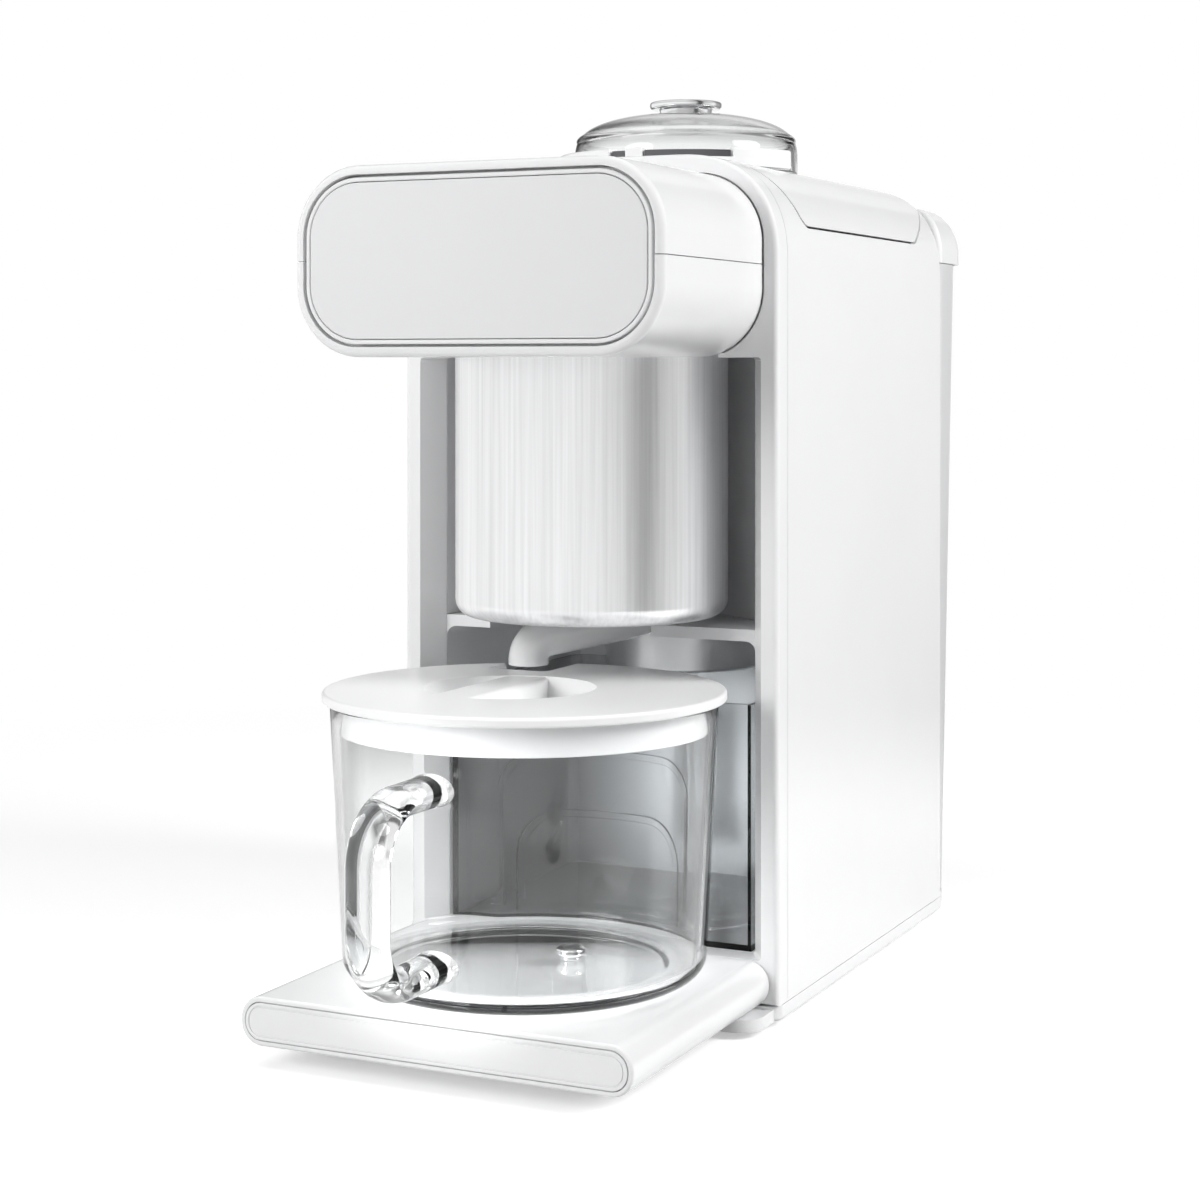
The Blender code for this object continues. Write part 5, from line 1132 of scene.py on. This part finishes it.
def build_jug(sizes):
    low, top, wall = JUG_LOW.z, JUG_HIGH.z, sizes.glass_wall
    floor = low + JUG_FLOOR
    heights = [low + (top - low) * n / 14 for n in range(13, 2, -1)]
    outer = [(jug_radius(height), height, 0) for height in heights]
    inner = [(jug_radius(height) - wall, height, 0) for height in reversed(heights)]
    corners = [(0, floor, 0), (jug_radius(floor) - wall, floor, JUG_CORNER - wall), *inner,
               (jug_radius(top) - wall, top, JUG_RIM_ROUND),
               (jug_radius(top), top, JUG_RIM_ROUND), *outer,
               (jug_radius(low), low, JUG_CORNER), (JUG_FOOT_RADIUS * 0.80, low, 0.0005),
               (JUG_FOOT_RADIUS * 0.77, low + 0.0008, 0.0006), (0, low + 0.0012, 0)]
    body = turned(corners, JUG, 144, 7)

    high, deep = top - HANDLE_DROP, top - HANDLE_DROP - HANDLE_HEIGHT
    out, bend = JUG_TOP_RADIUS + HANDLE_REACH, HANDLE_BEND
    leads = (-wall * 0.6, *(0.0020 * n for n in range(12)))
    route = [(jug_radius(high) + lead, high) for lead in leads]
    route += arc((out - bend, high - bend), bend, 90, 0, 18)
    route += [(out, high - bend - (HANDLE_HEIGHT - 2 * bend) * n / 12) for n in range(1, 12)]
    route += arc((out - bend, deep + bend), bend, 0, -90, 18)
    route += [(jug_radius(deep) + lead, deep) for lead in reversed(leads)]
    points = [(JUG[0], JUG[1] - radius, height) for radius, height in route]
    flares = [1.0 + ROOT_FLARE * 2 ** (-max(radius - jug_radius(height), 0.0) / ROOT_REACH)
              for radius, height in route]
    handle = swept(points, HANDLE_WIDE / 2, HANDLE_DEEP / 2, 48, flares)
    inset = wall * 0.5
    space = [(0, low + inset, 0), (jug_radius(low) - inset, low + inset, JUG_CORNER - inset),
             (jug_radius(top) - inset, top + OVER, 0), (0, top + OVER, 0)]
    handle = carved(handle, [turned(space, JUG, 144, 7)])
    work = carved(body, [handle], "UNION")
    piece("glass_jug", work, "clear_glass", "jug", "jug", angle=50.0, even=False)

    low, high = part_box("jug_stud")
    radius = (high.x - low.x) / 2
    rise = high.z - low.z
    corners = [(0, low.z, 0), (radius * 0.78, low.z, 0.0002),
               (radius * 0.78, low.z + rise * 0.30, 0.0002), (radius, low.z + rise * 0.42, 0.0004),
               (radius, high.z - rise * 0.16, 0.0005), (radius * 0.60, high.z, 0.0006),
               (radius * 0.45, high.z - rise * 0.08, 0.0003), (0, high.z - rise * 0.10, 0)]
    piece("jug_floor_stud", turned(corners, centre_of("jug_stud"), 48, 4), "polished_steel",
          "jug", "jug_stud")


def build_jug_lid(sizes):
    top, rim = LID_HIGH.z, LID_HIGH.x
    low = top - LID_THICK
    skirt, skirt_low = JUG_TOP_RADIUS - sizes.glass_wall - LID_PLAY, LID_LOW.z
    under = top - LID_SHEET
    corners = [(0, top, 0), (rim, top, 0.0014), (rim, low, 0.0008), (skirt, low, 0.0004),
               (skirt - LID_SHEET, low, 0), (skirt - LID_SHEET, under, 0.0008), (0, under, 0)]
    work = turned(corners, JUG, 144, 4)
    seam = low - TINY * 20
    corners = [(skirt, seam, 0), (skirt - SKIRT_TAPER, skirt_low, 0.0006),
               (skirt - SKIRT_TAPER - LID_SHEET, skirt_low, 0.0006), (skirt - LID_SHEET, seam, 0)]
    edge = turned(corners, JUG, 144, 4)

    well = (JUG[0] + WELL_X, JUG[1])
    floor, foot = top - WELL_DEPTH, WELL_RADIUS * WELL_FOOT_SHARE
    bowl = turned([(0, floor - LID_SHEET, 0), (foot + LID_SHEET, floor - LID_SHEET, 0.003),
                   (WELL_RADIUS + LID_SHEET, top - 0.0005, 0), (0, top - 0.0005, 0)], well, 96, 6)
    hollow = turned([(0, floor, 0), (foot, floor, 0.0025),
                     (WELL_RADIUS, top + OVER, 0), (0, top + OVER, 0)], well, 96, 6)
    work = carved(carved(work, [bowl], "UNION"), [hollow])

    grip = JUG[0] + GRIP_X
    reach = WELL_RADIUS + 0.0012
    ridge = bar((grip - GRIP_WIDTH / 2, well[1] - reach, floor - 0.001),
                (grip + GRIP_WIDTH / 2, well[1] + reach, top - 0.0003))
    softened(ridge, GRIP_ROUND, 4,
             where=lambda p: p.z > top - 0.0008 and abs(p.y - well[1]) < 0.01)
    limit = turned([(0, floor - 0.0012, 0), (reach, floor - 0.0012, 0), (reach, top + OVER, 0),
                    (0, top + OVER, 0)], well, 96)
    work = carved(work, [carved(ridge, [limit], "INTERSECT")], "UNION")

    notch = box_corners((SPOUT_TIP[0] - NOTCH_WIDTH / 2, SPOUT_TIP[1] - NOTCH_FRONT),
                        (SPOUT_TIP[0] + NOTCH_WIDTH / 2, JUG[1] + rim + OVER),
                        (NOTCH_CORNER, NOTCH_CORNER, 0, 0))
    work, edge = (carved(part, [along_z(notch, skirt_low - OVER, top + OVER, 8)])
                  for part in (work, edge))
    softened(work, 0.0005, 2, 55.0)
    piece("jug_cover", work, "jug_lid", "jug_lid", "jug_lid")
    piece("cover_skirt", edge, "lid_skirt", "jug_lid", "jug_lid")


# Waste box and tank


def box_front(grow):
    """Plan of the waste box: hollowed at the front round the jug."""
    half = BOX_HIGH.x - grow
    back = BOX_HIGH.y - grow
    radius = JUG_TOP_RADIUS + BOX_JUG_GAP + grow
    edge = BOX_LOW.y + grow
    start = degrees(acos((edge - JUG[1]) / radius))
    return [(-half, edge, 0), *unrounded(arc(JUG, radius, 90 + start, 90 - start, 36)),
            (half, edge, 0), (half, back, BOX_CORNER), (-half, back, BOX_CORNER)]


def rib_prism(rib, inset, reach):
    """Outline of a rib, or with an inset what it frames, drawn through the box's front wall."""
    half, height = rib
    low, bend = BOX_LOW.z + RIB_WIDTH, RIB_CORNER - inset
    corners = box_corners((inset - half, low + inset), (half - inset, low + height - inset),
                          (SHARP, SHARP, bend, bend))
    back = JUG[1] + JUG_TOP_RADIUS + BOX_JUG_GAP + BOX_WALL
    return along_y(corners, BOX_LOW.y - reach, back + reach, 10)


def build_waste_box(sizes):
    low, top = BOX_LOW.z, BOX_HIGH.z
    work = along_z(box_front(0.0), low, top, 8)
    work = carved(work, [along_z(box_front(BOX_WALL), low + BOX_WALL, top + OVER, 8)])
    outer, inner = RIBS
    between = carved(rib_prism(outer, RIB_WIDTH, OVER), [rib_prism(inner, 0.0, OVER * 2)])
    ribs = carved(rib_prism(outer, 0.0, 0.0), [between, rib_prism(inner, RIB_WIDTH, OVER)])
    face = JUG_TOP_RADIUS + BOX_JUG_GAP
    ring = turned([(face - RIB_PROUD, low, 0), (face + BOX_WALL / 2, low, 0),
                   (face + BOX_WALL / 2, top, 0), (face - RIB_PROUD, top, 0)], JUG, 144)
    work = carved(work, [carved(ribs, [ring], "INTERSECT")], "UNION")
    softened(work, 0.0005, 2, 50.0, where=lambda p: p.z > top - TINY * 20)
    piece("waste_water_box", work, "clear_plastic", "waste_box", "waste_box")


def tank_corners(inset, share):
    """Plan of the tank; share runs from 0 at its foot to 1 at its top."""
    half = TANK_LID_HIGH.x - TANK_TAPER * (1 - share) - inset
    front = TANK_LOW.y + inset
    back = TANK_HIGH.y - TANK_LEAN * (1 - share) - inset
    deep, small = max(TANK_CORNER - inset, SHARP), max(TANK_FRONT_CORNER - inset, SHARP)
    return box_corners((-half, front), (half, back), (small, small, deep, deep))


def tapered(inset, low, high):
    """The tank's block between two heights."""
    span = TANK_HIGH.z - TANK_LOW.z
    first, last = (low - TANK_LOW.z) / span, (high - TANK_LOW.z) / span
    under, over = tank_corners(inset, first), tank_corners(inset, last)
    across = over[1][0] / under[1][0]
    deep = (over[2][1] - over[1][1]) / (under[2][1] - under[1][1])
    return drawn(flat(under, from_above(low), 10), (0, 0, high - low), (across, deep, 1),
                 (0, under[1][1], 0))


def build_tank(sizes):
    low, top, wall = TANK_LOW.z, TANK_HIGH.z, TANK_WALL
    work = softened(tapered(0, low, top), TANK_ROUND, 3, where=at_z(low))
    port = rod(centre_of("tank_valve"), TANK_PORT, low - OVER, low + wall + OVER, 48)
    work = carved(work, [tapered(wall, low + wall, top + OVER), port])
    softened(work, sizes.seam_round, 2, 50.0, lambda p: p.z > low + 0.01)
    piece("tank_body", work, "milky_plastic", "water_tank", "water_tank")

    work = carved(cap_form(0.0), [cap_form(TANK_WALL)])
    softened(work, sizes.seam_round, 2, 50.0, lambda p: p.z < TANK_LID_LOW.z + 0.001)
    piece("tank_cap", work, "white_gloss", "tank_lid", "tank_lid")


def cap_form(inset):
    """The tank's cap or its hollow: a plan that is drawn up and narrowed step by step."""
    low, top = TANK_LID_LOW.z - (OVER if inset else 0.0), TANK_LID_HIGH.z - inset
    half, depth = TANK_LID_HIGH.x - inset, (TANK_HIGH.y - TANK_LOW.y) / 2 - inset
    middle = Vector((0, (TANK_HIGH.y + TANK_LOW.y) / 2, 0))
    work = flat(tank_corners(inset, 1.0), from_above(low), 12)
    upper = work.faces[:]
    height, narrow = low, 0.0
    for n in range(TANK_LID_STEPS + 1):
        turn = radians(90.0 * n / TANK_LID_STEPS)
        higher = top - TANK_LID_ROUND * (1 - sin(turn))
        narrower = TANK_LID_ROUND * (1 - cos(turn)) * 0.8
        made = bmesh.ops.extrude_face_region(work, geom=upper)["geom"]
        if n:
            bmesh.ops.delete(work, geom=upper, context="FACES_ONLY")
        upper = [part for part in made if isinstance(part, bmesh.types.BMFace)]
        moved = [part for part in made if isinstance(part, bmesh.types.BMVert)]
        shares = ((half - narrower) / (half - narrow), (depth - narrower) / (depth - narrow), 1)
        bmesh.ops.scale(work, vec=shares, verts=moved, space=Matrix.Translation(-middle))
        bmesh.ops.translate(work, vec=(0, 0, higher - height), verts=moved)
        height, narrow = higher, narrower
    bmesh.ops.recalc_face_normals(work, faces=work.faces[:])
    return work


def build_inner(sizes):
    """Pieces inside the body keep the frame's form, smoothly shaded, with their finishes."""
    record = frame["record"]
    slots = {part["node"]: part["material_slot"] for part in record["subparts"]}
    bodies = {node: body for body, nodes in record["behaviour"]["bodies"].items()
              for node in nodes}
    for node in INNER:
        piece(node + "_finished", copy_of(node), slots[node], bodies[node], node)


# Stage


def darkened(turn):
    """Light of the studio round a full turn, with the dark flags that stand in it."""
    level = 1.0
    for centre, width, depth in DARK_BANDS:
        band = (1.0 - abs(turn - radians(centre)) / radians(width)).most(0.0)
        level = (1.0 - (band * BAND_EDGE).least(1.0) * depth) * level
    return level


def build_floor():
    """Pale floor that keeps the object's shadow and is white further out."""
    look, graph = new_look("floor_finish")
    place = graph.place()
    cloud = graph.noise(place, 3.0, 2.0)
    camera, glossy, through = graph.node("ShaderNodeLightPath", None, None, (
        "Is Camera Ray", "Is Glossy Ray", "Is Transmission Ray"))
    white = (1.0, 1.0, 1.0)
    values = {"Roughness": 0.9, "Specular IOR Level": 0.0,
              "Base Color": graph.mix(cloud, solid(white, 0.50), solid(white, 0.51))}
    plain = graph.principled(values)
    values.update({"Base Color": graph.mix(cloud, solid(white, 0.90), solid(white, 0.91)),
                   "Emission Color": solid(white), "Emission Strength": FLOOR_LIFT})
    surface = graph.mixed((camera + glossy).least(1.0), plain, graph.principled(values))
    x, y = graph.parts(place)[:2]
    level = camera + (1.0 - camera) * darkened(graph.turn(x, y))
    shade = graph.grey(level)
    beyond = graph.node("ShaderNodeEmission", None, {"Color": shade, "Strength": 1.0})
    away = graph.node("ShaderNodeVectorMath", {"operation": "LENGTH"}, {0: place}, "Value")
    far = ((away - FLOOR_FAR) * FLOOR_FADE).clamped()
    seen = (camera + glossy + through).least(1.0)
    graph.surface(graph.mixed(far * seen, surface, beyond))

    work = bmesh.new()
    bmesh.ops.create_circle(work, cap_ends=True, radius=FLOOR_RADIUS, segments=96)
    floor = held(work, "studio_floor")
    floor.data.materials.append(look)


def build_world():
    """White to the camera, soft light on the object, and a room with dark flags in its gloss."""
    world = bpy.data.worlds.new("studio")
    world.use_nodes = True
    bpy.context.scene.world = world
    graph = Graph(world.node_tree)
    way = graph.place("Generated")
    camera, diffuse = graph.node("ShaderNodeLightPath", None, None,
                                 ("Is Camera Ray", "Is Diffuse Ray"))
    x, y, z = graph.parts(way)
    room = (1.0 - z.most(0.0) * ROOM_FALL) * darkened(graph.turn(x, y))
    height, reach, depth = DARK_SHELF
    shelf = (1.0 - abs(z - height) / reach).most(0.0)
    room = room * (1.0 - (shelf * SHELF_EDGE).least(1.0) * depth)
    soft = WORLD_LEVEL * (1.0 + x * WORLD_LEAN)
    level = camera + (1.0 - camera) * (diffuse * soft + (1.0 - diffuse) * room)
    back = graph.node("ShaderNodeBackground", None, {"Color": graph.grey(level), "Strength": 1.0})
    graph.surface(back, "ShaderNodeOutputWorld")


def build_stage():
    build_floor()
    build_world()
    scene = bpy.context.scene
    for name, place, size, spread, power, aim in LAMPS:
        data = bpy.data.lights.new(name, "AREA")
        data.shape = "DISK"
        data.size = size
        data.spread = radians(spread)
        data.energy = power
        lamp = bpy.data.objects.new(name, data)
        scene.collection.objects.link(lamp)
        lamp.location = place
        lamp.visible_glossy = False
        lamp.rotation_euler = (Vector(aim) - Vector(place)).to_track_quat("-Z", "Y").to_euler()

    data = bpy.data.cameras.new("view")
    data.lens = CAMERA_LENS
    data.sensor_width = 36.0
    data.shift_y = CAMERA_SHIFT
    data.clip_end = CAMERA_FAR
    camera = bpy.data.objects.new("view", data)
    scene.collection.objects.link(camera)
    camera.location = CAMERA_PLACE
    camera.rotation_euler = (radians(90.0), 0.0, radians(CAMERA_TURN))
    scene.camera = camera
    scene.view_settings.view_transform = "Standard"


# Operators, panel and the run


class SOYMAKER_OT_finishes(bpy.types.Operator):
    """Makes the finishes of all pieces"""

    bl_idname = "soy_maker.finishes"
    bl_label = "Finishes"

    def execute(self, context):
        make_looks()
        return {"FINISHED"}


class SOYMAKER_OT_front_frame(bpy.types.Operator):
    """Builds the arched front frame"""

    bl_idname = "soy_maker.front_frame"
    bl_label = "Front frame"

    def execute(self, context):
        build_front_frame(context.scene.soy_maker_sizes)
        return {"FINISHED"}


class SOYMAKER_OT_housing(bpy.types.Operator):
    """Builds the side shell and the top cover"""

    bl_idname = "soy_maker.housing"
    bl_label = "Housing"

    def execute(self, context):
        build_housing(context.scene.soy_maker_sizes)
        return {"FINISHED"}


class SOYMAKER_OT_base(bpy.types.Operator):
    """Builds the base plate and the feet"""

    bl_idname = "soy_maker.base"
    bl_label = "Base"

    def execute(self, context):
        build_base(context.scene.soy_maker_sizes)
        return {"FINISHED"}


class SOYMAKER_OT_tray(bpy.types.Operator):
    """Builds the tray and its front plate"""

    bl_idname = "soy_maker.tray"
    bl_label = "Tray"

    def execute(self, context):
        build_tray(context.scene.soy_maker_sizes)
        return {"FINISHED"}


class SOYMAKER_OT_liners(bpy.types.Operator):
    """Builds the walls of the bay and of the niche"""

    bl_idname = "soy_maker.liners"
    bl_label = "Liners"

    def execute(self, context):
        build_liners(context.scene.soy_maker_sizes)
        return {"FINISHED"}


class SOYMAKER_OT_head(bpy.types.Operator):
    """Builds the head, its front plate and its touch panel"""

    bl_idname = "soy_maker.head"
    bl_label = "Head"

    def execute(self, context):
        build_head(context.scene.soy_maker_sizes)
        return {"FINISHED"}


class SOYMAKER_OT_grinder(bpy.types.Operator):
    """Builds the cup, the motor can and the blade"""

    bl_idname = "soy_maker.grinder"
    bl_label = "Grinder"

    def execute(self, context):
        build_grinder(context.scene.soy_maker_sizes)
        return {"FINISHED"}


class SOYMAKER_OT_dome(bpy.types.Operator):
    """Builds the dome, its handle, seal and collar"""

    bl_idname = "soy_maker.dome"
    bl_label = "Dome lid"

    def execute(self, context):
        build_dome(context.scene.soy_maker_sizes)
        return {"FINISHED"}


class SOYMAKER_OT_chamber(bpy.types.Operator):
    """Builds the steel sleeve and the spout"""

    bl_idname = "soy_maker.chamber"
    bl_label = "Chamber"

    def execute(self, context):
        build_chamber(context.scene.soy_maker_sizes)
        return {"FINISHED"}


class SOYMAKER_OT_jug(bpy.types.Operator):
    """Builds the glass jug and its stud"""

    bl_idname = "soy_maker.jug"
    bl_label = "Jug"

    def execute(self, context):
        build_jug(context.scene.soy_maker_sizes)
        return {"FINISHED"}


class SOYMAKER_OT_jug_lid(bpy.types.Operator):
    """Builds the lid of the jug"""

    bl_idname = "soy_maker.jug_lid"
    bl_label = "Jug lid"

    def execute(self, context):
        build_jug_lid(context.scene.soy_maker_sizes)
        return {"FINISHED"}


class SOYMAKER_OT_waste_box(bpy.types.Operator):
    """Builds the waste water box"""

    bl_idname = "soy_maker.waste_box"
    bl_label = "Waste box"

    def execute(self, context):
        build_waste_box(context.scene.soy_maker_sizes)
        return {"FINISHED"}


class SOYMAKER_OT_tank(bpy.types.Operator):
    """Builds the water tank and its cap"""

    bl_idname = "soy_maker.tank"
    bl_label = "Tank"

    def execute(self, context):
        build_tank(context.scene.soy_maker_sizes)
        return {"FINISHED"}


class SOYMAKER_OT_inner(bpy.types.Operator):
    """Finishes the pieces inside the body"""

    bl_idname = "soy_maker.inner"
    bl_label = "Inner pieces"

    def execute(self, context):
        build_inner(context.scene.soy_maker_sizes)
        return {"FINISHED"}


class SOYMAKER_OT_stage(bpy.types.Operator):
    """Builds the floor, the light and the camera"""

    bl_idname = "soy_maker.stage"
    bl_label = "Stage"

    def execute(self, context):
        build_stage()
        return {"FINISHED"}


OPERATORS = (
    SOYMAKER_OT_finishes, SOYMAKER_OT_front_frame, SOYMAKER_OT_housing, SOYMAKER_OT_base,
    SOYMAKER_OT_tray, SOYMAKER_OT_liners, SOYMAKER_OT_head, SOYMAKER_OT_grinder,
    SOYMAKER_OT_dome, SOYMAKER_OT_chamber, SOYMAKER_OT_jug, SOYMAKER_OT_jug_lid,
    SOYMAKER_OT_waste_box, SOYMAKER_OT_tank, SOYMAKER_OT_inner, SOYMAKER_OT_stage,
)


class SOYMAKER_PT_panel(bpy.types.Panel):
    """Sizes, colours and build steps of the soy milk maker"""

    bl_idname = "SOYMAKER_PT_panel"
    bl_label = "Soy Milk Maker"
    bl_space_type = "VIEW_3D"
    bl_region_type = "UI"
    bl_category = "Soy Milk Maker"

    def draw(self, context):
        layout = self.layout
        for group in (context.scene.soy_maker_sizes, context.scene.soy_maker_colours):
            for name in group.bl_rna.properties.keys():
                if name not in ("rna_type", "name"):
                    layout.prop(group, name)
        for made in OPERATORS:
            layout.operator(made.bl_idname)


CLASSES = (MachineSizes, MachineColours, *OPERATORS, SOYMAKER_PT_panel)


def register():
    for made in CLASSES:
        bpy.utils.register_class(made)
    bpy.types.Scene.soy_maker_sizes = PointerProperty(type=MachineSizes)
    bpy.types.Scene.soy_maker_colours = PointerProperty(type=MachineColours)


def unregister():
    del bpy.types.Scene.soy_maker_sizes
    del bpy.types.Scene.soy_maker_colours
    for made in reversed(CLASSES):
        bpy.utils.unregister_class(made)


def main():
    register()
    for made in OPERATORS:
        getattr(bpy.ops.soy_maker, made.bl_idname.split(".")[1])()


if __name__ == "__main__":
    main()
